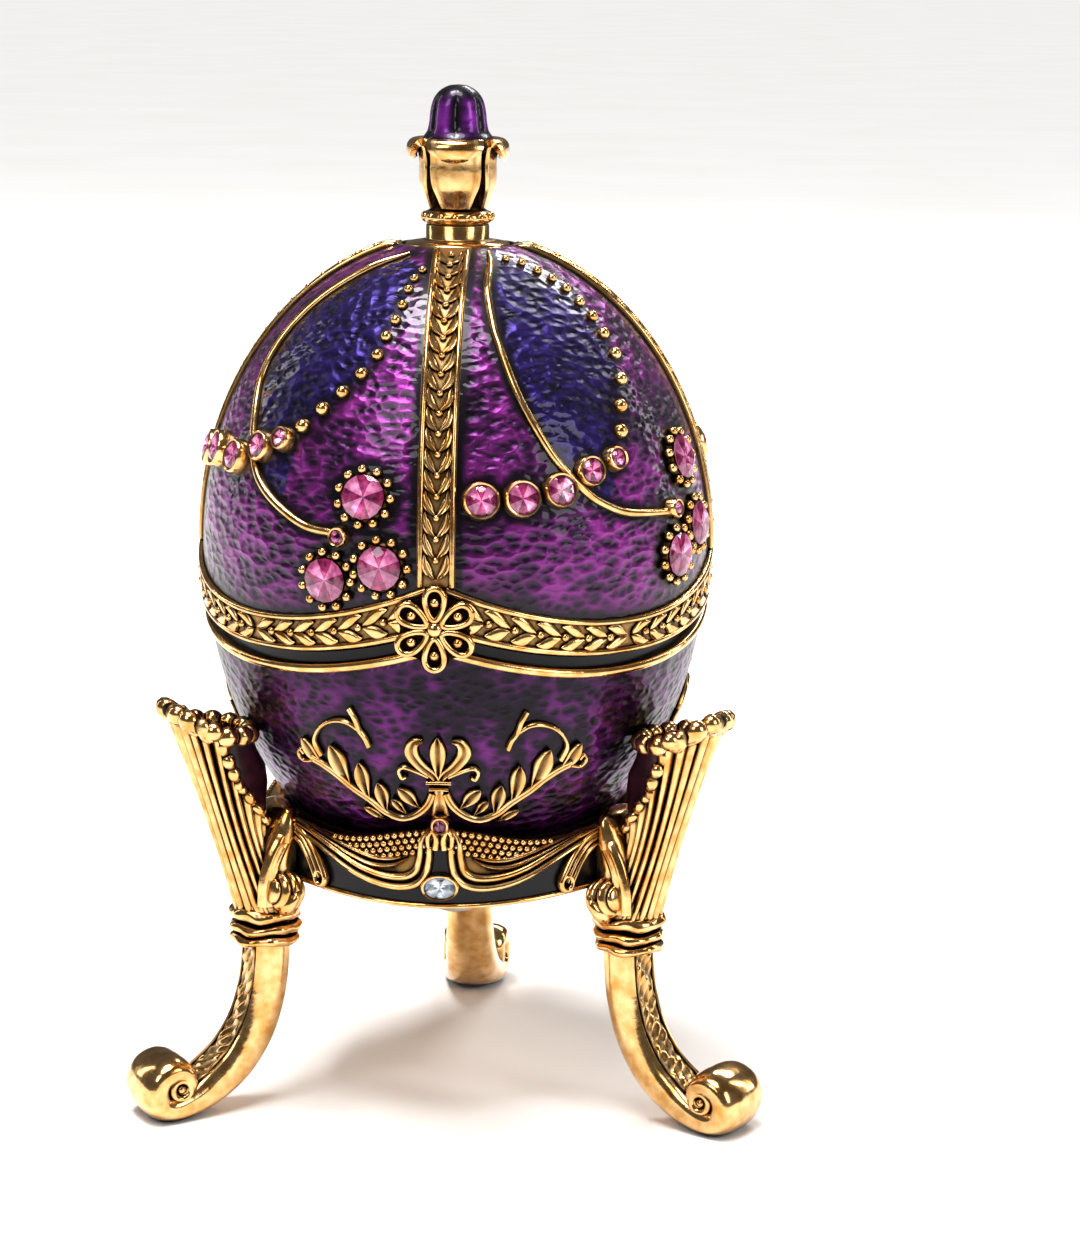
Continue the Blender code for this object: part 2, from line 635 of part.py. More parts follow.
def knee(angle):
    """The block that joins the leg's neck to the apron."""
    rise = rail_top(angle) - COLLAR_TOP
    levels = ((-0.1, 0.0, 1.0, 1.0), (0.35, -0.15, 0.95, 1.1), (0.75, -0.36, 0.7, 1.15), (1.0, -0.5, 0.42, 1.0))
    rows = []
    spins = np.radians(45 * np.arange(8) + 22.5)
    out, across, _ = leg_frame(angle)
    for level, move, deep, wide in levels:
        centre = leg_point(angle, COLLAR_OUT + move * COLLAR_RADIUS, COLLAR_TOP + level * rise)
        rows.append(centre + COLLAR_RADIUS * (np.outer(deep * np.cos(spins), out)
                                              + np.outer(wide * np.sin(spins), across)))
    return capped(rows)


def ears(angle):
    """Two small scrolls beside the knee, facing the bays."""
    out = leg_frame(angle)[0]
    return [prism(leg_point(angle, COLLAR_OUT - EAR_INSET, COLLAR_TOP + EAR_RADIUS, side * (COLLAR_RADIUS + FUSE)),
                  out, (0, 0, 1), (EAR_RADIUS, EAR_RADIUS, 0.8 * EAR_RADIUS),
                  (-0.5 * EAR_LENGTH, 0.3 * EAR_LENGTH, 0.5 * EAR_LENGTH), 7)
            for side in (-1, 1)]


def shell(angle):
    """The fluted shell above the collar: it leans out and opens upward, its rim scalloped."""
    columns = 2 * FLUTES
    spins = np.radians(360 / columns * np.arange(columns))
    rib = np.cos(FLUTES * spins)
    out, across, up = leg_frame(angle)

    def ring(level, inset=0.0):
        """Level 0 is the collar's top and 1 the rim; the waist is narrow and the mouth wide."""
        waist = 0.74 * COLLAR_RADIUS
        spread = level ** 2.6
        pinch = (1 - level) ** 3
        deep = waist + (SHELL_MOUTH - waist) * spread + (COLLAR_RADIUS - waist) * pinch - inset
        wide = waist + (SHELL_SIDE - waist) * spread + (COLLAR_RADIUS - waist) * pinch - inset
        flute = 1 + (0.03 + 0.06 * level) * rib
        centre = COLLAR_OUT + SHELL_LEAN * (1.35 * level - 0.35 * level ** 2)
        tilt = SHELL_TILT * spread * deep
        rise = COLLAR_TOP - FUSE + level * (SHELL_HEIGHT + FUSE)
        crest = SHELL_CREST * rib * level ** 6
        return (out * (centre + deep * np.cos(spins) * flute)[:, None]
                + across * (wide * np.sin(spins) * flute)[:, None]
                + up * (rise + tilt * np.cos(spins) + crest)[:, None])

    outer = [ring(level) for level in (0.0, 0.3, 0.6, 0.84, 1.0)]
    inner = [ring(1.0, SHELL_WALL), ring(0.65, SHELL_WALL)]
    return capped(outer + inner)


def apron_setting(angle, height, radius, out):
    """Centre and normal of a setting's face on the apron."""
    return polar(APRON_RADIUS + out, angle, height), polar(1.0, angle, 0.0)


def apron_stones():
    """Every stone on the apron as (name, angle, height, setting's radius, stand-off)."""
    stones = []
    for bay in range(LEGS):
        middle = bay * 360 / LEGS
        stones.append((f"crest_stone_{bay + 1}", middle, RAIL_PEAK + CREST_RISE, CREST_STONE, CREST_OUT))
        stones.append((f"apron_stone_{bay + 1}", middle, float(apron_edge(middle)) + APRON_STONE_RISE,
                       APRON_STONE, APRON_STONE_OUT))
    return stones


def make_stand(gold):
    additions = []
    for bay in range(LEGS):
        additions += bay_mouldings(bay * 360 / LEGS)
    for _, angle, height, radius, out in apron_stones():
        centre, normal = apron_setting(angle, height, radius, out)
        additions.append(prism(centre, normal, (0, 0, 1), (0.5 * radius, radius, radius - BREAK),
                               (-out - FUSE / 2, -0.75 * out, 0.0), 8))
    for leg in range(LEGS):
        angle = (leg + 0.5) * 360 / LEGS
        additions += [knee(angle), collar(angle), shell(angle), shaft(angle), foot(angle)] + ears(angle)
    return joined("stand", apron(), additions, gold)


def make_screw(steel):
    """A dome-headed screw: head under the cup, shank up into the bowl's floor."""
    head_top = EGG_FOOT - GAP - CUP_WALL - GAP
    levels = ((0.55, -SCREW_DOME), (0.9, -0.7 * SCREW_DOME), (1.0, -0.25 * SCREW_DOME), (1.0, 0.0))
    radii = [share * SCREW_HEAD for share, _ in levels] + [SCREW_SHANK, SCREW_SHANK]
    depths = [drop for _, drop in levels] + [0.01, EGG_FOOT + SCREW_GRIP - head_top]
    body = prism((0, 0, head_top), (0, 0, 1), (0, 1, 0), radii, depths, 12)
    return to_object("fixing_screw", body, steel)


def make_stones(pink, clear):
    made = []
    for name, angle, height, radius in lid_stones():
        slope = float(egg_slope(height))
        normal = skin(angle, slope, 1.0) - skin(angle, slope)
        centre = skin(angle, slope) + normal * BOSS_HEIGHT
        made.append(stone(name, centre, normal, radius - SETTING_EDGE, sides_for(radius), pink))
    for name, angle, height, radius, out in apron_stones():
        centre, normal = apron_setting(angle, height, radius, out)
        look = clear if name.startswith("apron") else pink
        made.append(stone(name, centre, normal, radius - SETTING_EDGE, 8, look))
    return made


def centre_on_footprint(pieces):
    """Turn millimetres to metres, and hang every piece on one empty over the footprint's middle."""
    for piece in pieces:
        piece.data.transform(Matrix.Scale(MM, 4))
    ends = [vertex.co.y for piece in pieces for vertex in piece.data.vertices]
    stand_at = bpy.data.objects.new("egg_axis", None)
    bpy.context.scene.collection.objects.link(stand_at)
    stand_at.location.y = -(min(ends) + max(ends)) / 2
    for piece in pieces:
        piece.parent = stand_at


def main():
    clear_scene()
    gold = finish("polished_gilt", (0.83, 0.58, 0.22), 1.0, 0.22)
    enamel = finish("purple_enamel", (0.16, 0.03, 0.22), 0.0, 0.15)
    steel = finish("polished_steel", (0.75, 0.76, 0.78), 1.0, 0.2)
    pink = finish("pink_stone", (0.75, 0.12, 0.42), 0.0, 0.05)
    clear = finish("clear_stone", (0.85, 0.9, 0.95), 0.0, 0.05)
    pieces = [make_stand(gold), make_bowl(enamel), make_lid(gold), make_finial(gold), make_screw(steel)]
    pieces += make_stones(pink, clear)
    centre_on_footprint(pieces)


main()
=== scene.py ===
# %% [markdown]
# # A jewelled egg trinket box
# This lesson dresses a small cast and enamelled box: an egg that opens at its scalloped girdle,
# on a stand with three cabriole legs. The solids of the box are already made and fixed. Here every
# visible surface gets its fine shape and its finish: hammered enamel, laurel bands, wires and beads,
# cut stones, shells and mouldings.
# Each new surface is a function of two parameters, worked out for all its points at once.

# %% Load the fixed frame
import json
import math
import bpy
import bmesh
import numpy as np
from mathutils import Matrix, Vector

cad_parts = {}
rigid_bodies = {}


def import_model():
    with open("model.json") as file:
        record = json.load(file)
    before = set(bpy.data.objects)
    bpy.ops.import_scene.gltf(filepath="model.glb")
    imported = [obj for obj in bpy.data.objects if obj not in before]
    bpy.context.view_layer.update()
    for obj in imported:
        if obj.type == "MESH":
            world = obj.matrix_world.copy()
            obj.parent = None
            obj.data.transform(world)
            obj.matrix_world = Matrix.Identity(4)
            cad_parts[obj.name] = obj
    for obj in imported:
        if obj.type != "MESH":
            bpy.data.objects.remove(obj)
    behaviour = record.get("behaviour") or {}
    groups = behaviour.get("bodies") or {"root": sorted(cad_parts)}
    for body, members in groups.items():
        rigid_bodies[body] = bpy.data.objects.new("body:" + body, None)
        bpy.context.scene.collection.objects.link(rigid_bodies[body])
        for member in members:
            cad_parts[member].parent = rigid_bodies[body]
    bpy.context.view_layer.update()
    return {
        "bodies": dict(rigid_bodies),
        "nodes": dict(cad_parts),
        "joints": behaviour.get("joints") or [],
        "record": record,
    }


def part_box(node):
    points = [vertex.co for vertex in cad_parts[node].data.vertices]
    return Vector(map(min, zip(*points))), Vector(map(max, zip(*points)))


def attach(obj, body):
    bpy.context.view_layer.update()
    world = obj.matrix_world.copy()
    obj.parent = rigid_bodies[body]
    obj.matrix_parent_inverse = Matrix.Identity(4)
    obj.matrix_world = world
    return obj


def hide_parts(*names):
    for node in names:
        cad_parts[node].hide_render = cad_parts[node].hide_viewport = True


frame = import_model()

# %% [markdown]
# ## Units and the egg's axis
# A jeweller thinks in millimetres, so all sizes below are millimetres about the egg's own upright
# axis, and one function turns finished points into the frame's metres. The axis isn't at the frame's
# origin, because the origin lies in the middle of the footprint, so it is read from the finial's box.

# %% Units and the axis
MM = 0.001
finial_low, finial_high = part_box("finial")
AXIS = np.array([(finial_low[i] + finial_high[i]) / 2 / MM for i in (0, 1)] + [0.0])
AXIS[0] = 0.0
TOP = finial_high[2] / MM
print("the egg's axis stands at", AXIS.round(2), "and the finial ends at", round(TOP, 2))

# %% [markdown]
# ## Meshes from grids
# A wire, a leaf, a ring or a wall is a stack of closed outlines. A grid holds them: each row is one
# outline, and its points run round. The ends are closed by a point in their middle, or the last row
# joins the first, as on a ring. Many equal bodies go through at once, with one more index in front.
# A number for each point, the recess, later lets the metal darken in its hollows, as old gilding does.

# %% From grids to meshes
WELD = 1e-7
SHARP = math.radians(50)
UP = np.array([0.0, 0.0, 1.0])


def body(grid, loop=False, recess=0.0, finish=0, field=0.0):
    """Closed bodies from outlines shaped (..., rows, points, 3): caps at both ends, or a loop of rows.

    finish is the number of the material: one for all faces, one for each row of faces, or one for each face.
    """
    grid = np.asarray(grid, float)
    rows, columns = grid.shape[-3:-1]
    grid = grid.reshape(-1, rows, columns, 3)
    marks = [np.array(np.broadcast_to(mark, grid.shape[:-1]), float) for mark in (recess, field)]
    if not loop:
        ends = grid[:, [0, -1]].mean(axis=2, keepdims=True) + np.zeros((1, 1, columns, 1))
        grid = np.concatenate([ends[:, :1], grid, ends[:, 1:]], axis=1)
        marks = [np.concatenate([mark[:, :1], mark, mark[:, -1:]], axis=1) for mark in marks]
        rows += 2
    index = np.arange(rows * columns).reshape(rows, columns)
    above = np.roll(index, -1, axis=0)
    if not loop:
        index, above = index[:-1], above[:-1]
    quads = np.stack([index, np.roll(index, -1, 1), np.roll(above, -1, 1), above], axis=-1)
    finish = np.reshape(finish, (-1, 1)) if np.ndim(finish) < 2 else finish
    finish = np.broadcast_to(finish, quads.shape[:2]).reshape(-1)
    quads = quads.reshape(1, -1, 4) + (np.arange(len(grid)) * rows * columns)[:, None, None]
    return (grid.reshape(-1, 3), quads.reshape(-1, 4), marks[0].reshape(-1), np.tile(finish, len(grid)),
            marks[1].reshape(-1))


def slab(front, back, recess=0.0, finish=0):
    """A plate between two grids of the same shape: rows run out along the front and home on the back."""
    front = np.asarray(front, float)
    recess = np.broadcast_to(recess, front.shape[:-1])
    back = np.broadcast_to(back, front.shape)
    return body(np.concatenate([front, back[..., ::-1, :]], axis=-2),
                recess=np.concatenate([recess, recess[..., ::-1]], axis=-1), finish=finish)


def put(name, data):
    """A new object in the scene, at the origin."""
    made = bpy.data.objects.new(name, data)
    bpy.context.scene.collection.objects.link(made)
    return made


def dress(mesh, finish, materials, replaced):
    """A mesh made a piece: its faces' finishes, points welded, faces turned outward, node replaced."""
    mesh.polygons.foreach_set("material_index", np.asarray(finish, np.int32))
    work = bmesh.new()
    work.from_mesh(mesh)
    bmesh.ops.remove_doubles(work, verts=work.verts, dist=WELD)
    bmesh.ops.recalc_face_normals(work, faces=work.faces)
    work.to_mesh(mesh)
    work.free()
    for material in materials:
        mesh.materials.append(material)
    made = put(mesh.name, mesh)
    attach(made, "root")
    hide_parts(replaced)


def piece(name, bodies, materials, replaced):
    """One object from closed bodies, placed on the egg's axis, with its edges over 50 degrees left sharp."""
    points, faces, recess, finish, field = zip(*bodies)
    starts = np.cumsum([0] + [len(part) for part in points[:-1]])
    mesh = bpy.data.meshes.new(name)
    mesh.from_pydata((np.concatenate(points) + AXIS) * MM, [],
                     np.concatenate([part + start for part, start in zip(faces, starts)]))
    for mark, values in (("recess", recess), ("field", field)):
        mesh.attributes.new(mark, "FLOAT", "POINT").data.foreach_set("value", np.concatenate(values))
    dress(mesh, np.concatenate(finish), materials, replaced)
    mesh.shade_smooth()
    mesh.set_sharp_from_angle(angle=SHARP)
    print(name, len(mesh.polygons), "faces")


print("edges over", round(math.degrees(SHARP)), "degrees stay sharp")

# %% [markdown]
# ## Lines, wires and turned shapes
# Goldsmith's work is mostly wire: drawn, bent, twisted and soldered down. A wire is a circle carried
# along a path. A turned shape, such as a bezel or a bead, is a profile swung round its own axis, and
# can then be set down anywhere by three directions: across, up and out.

# %% Lines, wires and turned shapes
def smooth_line(points, count):
    """A line through a few points: between two of them a cubic, whose slope at each point is half the
    way from the point before to the point after."""
    points = np.asarray(points, float)
    padded = np.vstack([2 * points[0] - points[1], points, 2 * points[-1] - points[-2]])
    place = np.linspace(0, len(points) - 1, count)
    index = np.minimum(place.astype(int), len(points) - 2)
    part = (place - index)[:, None]
    before, here, there, after = (padded[index + step] for step in range(4))
    return 0.5 * (2 * here + (there - before) * part
                  + (2 * before - 5 * here + 4 * there - after) * part ** 2
                  + (3 * here - before - 3 * there + after) * part ** 3)


def unit(vectors):
    """Vectors divided by their lengths."""
    return vectors / np.linalg.norm(vectors, axis=-1, keepdims=True)


def wire(path, out, radius, flat=1.0, sides=10, loop=False):
    """Outlines of a round or flattened wire: path points, outward directions, and the radius at each.

    point = path + radius (cos t * sideways + flat * sin t * outward), t all the way round
    """
    path = np.asarray(path, float)
    if loop:
        along = unit(np.roll(path, -1, axis=-2) - np.roll(path, 1, axis=-2))
    else:
        along = unit(np.gradient(path, axis=-2))
    side = unit(np.cross(along, out))
    out = np.cross(side, along)
    turn = np.linspace(0, 2 * np.pi, sides, endpoint=False)[:, None]
    radius = np.broadcast_to(radius, path.shape[:-1])[..., None, None]
    return path[..., None, :] + radius * (np.cos(turn) * side[..., None, :]
                                          + flat * np.sin(turn) * out[..., None, :])


def sweep(path, out, outline):
    """An outline carried along a path: point = path + x * sideways + y * outward, for each (x, y) of it."""
    along = unit(np.gradient(path, axis=-2))
    side = unit(np.cross(along, out))
    out = np.cross(side, along)
    outline = np.broadcast_to(outline, path.shape[:-1] + np.shape(outline)[-2:])
    return path[..., None, :] + outline[..., :1] * side[..., None, :] + outline[..., 1:] * out[..., None, :]


def turned(profile, columns):
    """A profile of (radius, height) rows swung round the upright axis."""
    radius, height = np.asarray(profile, float).T
    turn = np.linspace(0, 2 * np.pi, columns, endpoint=False)
    return np.stack(np.broadcast_arrays(radius[:, None] * np.cos(turn), radius[:, None] * np.sin(turn),
                                        height[:, None]), axis=-1)


def ball(radius, rows=7, columns=10):
    """A bead: the radius times sin and cos of the angle from its top, as a profile."""
    tilt = np.linspace(0.12, np.pi - 0.12, rows)
    return turned(np.stack([radius * np.sin(tilt), radius * np.cos(tilt)], axis=1), columns)


def set_down(shape, spots, across, up, out):
    """Copies of a shape at spots: x runs across, y up and z out. Gives (spots, rows, points, 3)."""
    turn = np.stack(np.broadcast_arrays(across, up, out), axis=-2)
    return spots[:, None, None] + np.einsum("rcx,nxd->nrcd", shape, turn.reshape(-1, 3, 3))


def strips(paths, half, place, rise, sink=-0.3, groove=0.0, columns=9, spread=0.3, shade=1.6):
    """Raised strips along paths of (across, along) places, laid on a surface by place(across, along, lift).

    lift = rise * (sqrt(1 - u^2) - groove exp(-(u / spread)^2)), u from -1 to 1 across the strip
    """
    paths = np.asarray(paths, float)
    half = np.broadcast_to(half, paths.shape[:-1])[..., None]
    rise = np.broadcast_to(rise, paths.shape[:-1])[..., None]
    u = np.linspace(-1, 1, columns)
    along = unit(np.gradient(paths, axis=-2))
    across = paths[..., :1] + half * u * along[..., 1:]
    climb = paths[..., 1:] - half * u * along[..., :1]
    dome = np.sqrt(1 - u ** 2) - groove * np.exp(-(u / spread) ** 2)
    hollow = shade * groove * np.exp(-(u / spread / 0.83) ** 2)
    dark = np.clip(np.clip((np.abs(u) - 0.7) / 0.3, 0, 1) + hollow, 0, 1)
    return slab(place(across, climb, rise * dome), place(across, climb, sink + 0 * rise * dome), dark)


def taper(rows, width, belly=0.4, tip=0.04):
    """Half widths of a leaf: width sin(pi s^p)^0.8, with p set so that it is widest at the belly."""
    share = np.linspace(0, 1, rows) ** (math.log(0.5) / math.log(belly))
    return np.maximum(width * np.sin(np.pi * share).clip(0) ** 0.8, tip)


print("a bead's grid has", ball(0.5).shape, "rows, points and coordinates")

# %% [markdown]
# ## The egg's own surface
# The egg is two half ellipsoids that meet at its widest level: the lower one is longer. Everything
# on it is placed by an angle round from the front, a height above the table, and a lift along the
# surface's normal. A second way in gives a small patch: millimetres across and up from one spot.

# %% The egg's own surface
EGG_RADIUS = 25.1
EGG_LEVEL = 55.5
EGG_TOP = 30.2
EGG_BOTTOM = 35.0
QUARTERS = 4
QUARTER_TURN = 360.0 / QUARTERS
LEGS = 3
BAY_TURN = 360.0 / LEGS


def polar(radius, angle, height):
    """x = r sin a, y = -r cos a, with the angle in degrees from the front."""
    turn = np.radians(angle)
    return np.stack(np.broadcast_arrays(radius * np.sin(turn), -radius * np.cos(turn), height), axis=-1)


def egg_slope(height):
    """asin((height - level) / half length), in radians, with the half that the height is in."""
    rise = np.asarray(height, float) - EGG_LEVEL
    return np.arcsin(np.clip(rise / np.where(rise > 0, EGG_TOP, EGG_BOTTOM), -1, 1))


def on_egg(angle, height, lift=0.0):
    """A point on the egg, moved out by the lift along the ellipse's normal (cos s / a, sin s / b)."""
    slope = egg_slope(height)
    reach = np.where(slope > 0, EGG_TOP, EGG_BOTTOM)
    out, up = np.cos(slope) / EGG_RADIUS, np.sin(slope) / reach
    length = np.hypot(out, up)
    return polar(EGG_RADIUS * np.cos(slope) + lift * out / length, angle,
                 EGG_LEVEL + reach * np.sin(slope) + lift * up / length)


def wall_frame(angle):
    """Across, up and out on an upright wall that faces an angle."""
    out = polar(1.0, angle, 0.0)
    return polar(1.0, np.asarray(angle, float) + 90, 0.0), np.broadcast_to(UP, out.shape), out


def egg_frame(angle, height):
    """Across, up and out at a spot on the egg."""
    out = unit(on_egg(angle, height, 1.0) - on_egg(angle, height, 0.0))
    across = wall_frame(angle)[0]
    return across, np.cross(out, across), out


# The egg's side as 2001 (radius, height) rows, and the way up to each of them
SLOPES = np.radians(np.linspace(-90, 90, 2001))
RIM = np.stack([EGG_RADIUS * np.cos(SLOPES),
                EGG_LEVEL + np.where(SLOPES > 0, EGG_TOP, EGG_BOTTOM) * np.sin(SLOPES)], axis=1)
CLIMB = np.concatenate([[0], np.cumsum(np.hypot(*np.diff(RIM, axis=0).T))])


def climb_to(height):
    """The way up along the egg's side from its foot, in millimetres."""
    return np.interp(height, RIM[:, 1], CLIMB)


def height_at(climb):
    """The height above the table after a climb along the egg's side."""
    return np.interp(climb, CLIMB, RIM[:, 1])


def patch(angle, height, across, along, lift=0.0):
    """A point some millimetres across and along from a spot on the egg."""
    there = height_at(climb_to(height) + along)
    radius = EGG_RADIUS * np.cos(egg_slope(there))
    return on_egg(angle + np.degrees(across / np.maximum(radius, 1.0)), there, lift)


print("the egg's side is", round(float(CLIMB[-1]), 1), "mm from foot to crown")

# %% [markdown]
# ## Gilding
# The castings are a white metal plated with gold and then toned: a dark wash is wiped off the high
# parts and stays in the hollows. That is why the gold reads so crisply. The recess number of each
# point drives the wash. Gold is a metal, so its colour is its reflection and it has no gloss coat.
# Where parts meet, ambient occlusion also paints shade into the gold, in the same dark colour.

# %% Colour and node helpers
def colour(hex_code):
    """An sRGB hex colour as linear RGBA: c / 12.92 up to 0.04045, else ((c + 0.055) / 1.055) ^ 2.4."""
    channels = [int(hex_code[i:i + 2], 16) / 255 for i in (1, 3, 5)]
    return tuple(c / 12.92 if c <= 0.04045 else ((c + 0.055) / 1.055) ** 2.4 for c in channels) + (1.0,)


def node(tree, kind, inputs=None, **settings):
    """Add a node with its settings; inputs are values or (node, output) pairs, by socket name or number."""
    made = tree.nodes.new(kind)
    for name, value in settings.items():
        setattr(made, name, value)
    for socket, value in (inputs or {}).items():
        if isinstance(value, tuple) and len(value) == 2:
            tree.links.new(value[0].outputs[value[1]], made.inputs[socket])
        else:
            made.inputs[socket].default_value = value
    return made


def blank(name):
    """A new material with an empty tree, and that tree."""
    material = bpy.data.materials.new(name)
    material.use_nodes = True
    material.node_tree.nodes.clear()
    return material, material.node_tree


def stops(ramp, *pairs):
    """Colour stops from (place, hex colour) pairs."""
    ramp = ramp.color_ramp
    while len(ramp.elements) > len(pairs):
        ramp.elements.remove(ramp.elements[-1])
    while len(ramp.elements) < len(pairs):
        ramp.elements.new(1.0)
    for element, (place, code) in zip(ramp.elements, pairs):
        element.position = place
        element.color = colour(code)


print("middle grey in linear light:", round(colour("#808080")[0], 3))

# %% Toned gilding
def toned_gilding(name, bright, deep, wash, roughness):
    """Electroplated gold over a cast surface: a dark wash in the hollows, painted shade where parts meet."""
    material, tree = blank(name)
    place = node(tree, "ShaderNodeTexCoord")
    recess = node(tree, "ShaderNodeAttribute", attribute_name="recess")
    # Casting skin: soft unevenness about 0.7 mm across, and a grain of about 0.15 mm
    soft = node(tree, "ShaderNodeTexNoise", {"Vector": (place, "Object"), "Scale": 1 / 0.0014,
                                             "Detail": 3.0})
    grain = node(tree, "ShaderNodeTexNoise", {"Vector": (place, "Object"), "Scale": 1 / 0.0003,
                                              "Detail": 2.0})
    tone = node(tree, "ShaderNodeValToRGB", {"Fac": (soft, "Fac")})
    stops(tone, (0.3, deep), (0.65, bright))
    broken = node(tree, "ShaderNodeMath", {0: (soft, "Fac"), 1: 0.5}, operation="MULTIPLY")
    edge = node(tree, "ShaderNodeMath", {0: (recess, "Fac"), 1: (broken, 0)}, operation="ADD")
    # Painted shade: where parts meet, within 0.9 mm, ambient occlusion darkens the gold in the wash's colour
    sky = node(tree, "ShaderNodeAmbientOcclusion", {"Distance": 0.0009}, samples=4)
    contact_shade = node(tree, "ShaderNodeMapRange", {"Value": (sky, "AO"), "From Min": 0.85, "From Max": 0.3})
    both = node(tree, "ShaderNodeMath", {0: (edge, 0), 1: (contact_shade, 0)}, operation="ADD")
    amount = node(tree, "ShaderNodeMapRange", {"Value": (both, 0), "From Min": 0.45, "From Max": 1.05})
    washed_and_shaded = node(tree, "ShaderNodeMix", {0: (amount, 0), 6: (tone, 0), 7: colour(wash)}, data_type="RGBA")
    rough = node(tree, "ShaderNodeMapRange", {"Value": (amount, 0), "To Min": roughness, "To Max": 0.6})
    bump = node(tree, "ShaderNodeBump", {"Height": (grain, "Fac"), "Strength": 0.12, "Distance": 0.00004})
    lumps = node(tree, "ShaderNodeBump", {"Height": (soft, "Fac"), "Strength": 0.35, "Distance": 0.00012,
                                          "Normal": (bump, "Normal")})
    shader = node(tree, "ShaderNodeBsdfPrincipled", {
        "Base Color": (washed_and_shaded, 2), "Metallic": 1.0, "Roughness": (rough, 0), "Normal": (lumps, "Normal")})
    node(tree, "ShaderNodeOutputMaterial", {"Surface": (shader, 0)})
    return material


GILT = toned_gilding("toned_gilding", "#E6BC82", "#C38C46", "#100602", 0.16)
print("made", GILT.name)

# %% [markdown]
# ## Translucent enamel
# Coloured glass powder is melted onto hammered metal. Light goes through the glass, bounces off the
# hammer marks and comes back deep purple, bright where a facet faces the light and almost black where
# it doesn't, while the glass itself shines smooth and white on top. So the base is a rough purple
# metal with hammered bumps, and the clear coat above it is smooth. Two attributes steer it: the recess
# is high beside wires and bands, where the enamel lies thick, smooth and dark, and the field number
# marks the indigo leaf.
# The recess also paints shade: near-black at the foot of the dome, under the bowl's rim wire and round the
# bud's ovals.

# %% Enamels
# Near-black: enamel so thick beside a wire that no light comes back, and painted shade at the dome's foot,
# under the bowl's rim wire and round the bud's painted highlights
THICK_AND_SHADED = "#0C0610"


def hammered_enamel(name, bright, mid, dark, field_bright, field_dark, depth=1.0, coat=0.3):
    """Translucent enamel over hammer marks about 1.2 mm long and 0.7 mm wide."""
    material, tree = blank(name)
    place = node(tree, "ShaderNodeTexCoord")
    recess = node(tree, "ShaderNodeAttribute", attribute_name="recess")
    field = node(tree, "ShaderNodeAttribute", attribute_name="field")
    squeezed = node(tree, "ShaderNodeMapping", {"Vector": (place, "Object"), "Scale": (0.7, 0.7, 1.2)})
    sway = node(tree, "ShaderNodeTexNoise", {"Vector": (squeezed, 0), "Scale": 1 / 0.0016, "Detail": 2.0})
    moved = node(tree, "ShaderNodeMix", {0: 0.0008, 4: (squeezed, 0), 5: (sway, "Color")}, data_type="VECTOR")
    marks = node(tree, "ShaderNodeTexVoronoi", {"Vector": (moved, 1), "Scale": 1 / 0.0009,
                                                "Smoothness": 0.35}, feature="SMOOTH_F1")
    cloud = node(tree, "ShaderNodeTexNoise", {"Vector": (place, "Object"), "Scale": 1 / 0.006,
                                              "Detail": 2.0})
    eased = node(tree, "ShaderNodeMath", {0: (marks, "Distance"), 1: 0.6, 2: 0.14}, operation="MULTIPLY_ADD")
    mixed = node(tree, "ShaderNodeMath", {0: (eased, 0), 1: (cloud, "Fac")}, operation="MULTIPLY")
    tone = node(tree, "ShaderNodeValToRGB", {"Fac": (mixed, 0)})
    stops(tone, (0.09, dark), (0.18, mid), (0.33, bright))
    blue = node(tree, "ShaderNodeValToRGB", {"Fac": (mixed, 0)})
    stops(blue, (0.1, field_dark), (0.34, field_bright))
    leaf = node(tree, "ShaderNodeMix", {0: (field, "Fac"), 6: (tone, 0), 7: (blue, 0)}, data_type="RGBA")
    rim = node(tree, "ShaderNodeMix", {0: (recess, "Fac"), 6: (leaf, 2), 7: colour(THICK_AND_SHADED)}, data_type="RGBA")
    flat = node(tree, "ShaderNodeMath", {0: 1.0, 1: (recess, "Fac")}, operation="SUBTRACT")
    bump = node(tree, "ShaderNodeBump", {"Height": (marks, "Distance"), "Strength": (flat, 0),
                                         "Distance": 0.00035 * depth})
    slick = node(tree, "ShaderNodeBump", {"Height": (marks, "Distance"), "Strength": 0.5,
                                          "Distance": 0.0002 * depth})
    shader = node(tree, "ShaderNodeBsdfPrincipled", {
        "Base Color": (rim, 2), "Metallic": 0.85, "Roughness": 0.38, "Normal": (bump, "Normal"),
        "Coat Weight": coat, "Coat Roughness": 0.05, "Coat IOR": 1.5, "Coat Normal": (slick, "Normal")})
    node(tree, "ShaderNodeOutputMaterial", {"Surface": (shader, 0)})
    return material


def plain_enamel(name, thin, thick, patch_size):
    """Opaque enamel: one deep colour that thins a little, in soft clouds patch_size metres across."""
    material, tree = blank(name)
    place = node(tree, "ShaderNodeTexCoord")
    cloud = node(tree, "ShaderNodeTexNoise", {"Vector": (place, "Object"), "Scale": 1 / patch_size,
                                              "Detail": 4.0})
    tone = node(tree, "ShaderNodeValToRGB", {"Fac": (cloud, "Fac")})
    stops(tone, (0.35, thick), (0.7, thin))
    ripple = node(tree, "ShaderNodeBump", {"Height": (cloud, "Fac"), "Strength": 0.15, "Distance": 0.0001})
    shader = node(tree, "ShaderNodeBsdfPrincipled", {
        "Base Color": (tone, "Color"), "Roughness": 0.35, "Specular IOR Level": 0.15,
        "Normal": (ripple, "Normal"), "Coat Weight": 0.1, "Coat Roughness": 0.06})
    node(tree, "ShaderNodeOutputMaterial", {"Surface": (shader, 0)})
    return material


ENAMEL = hammered_enamel("purple_enamel", "#7A2478", "#340E3A", "#0A030C", "#2A1A60", "#050312")
DEEP = hammered_enamel("deep_purple_enamel", "#56185C", "#1A0720", "#030104", "#241A62", "#040312", coat=0.1)
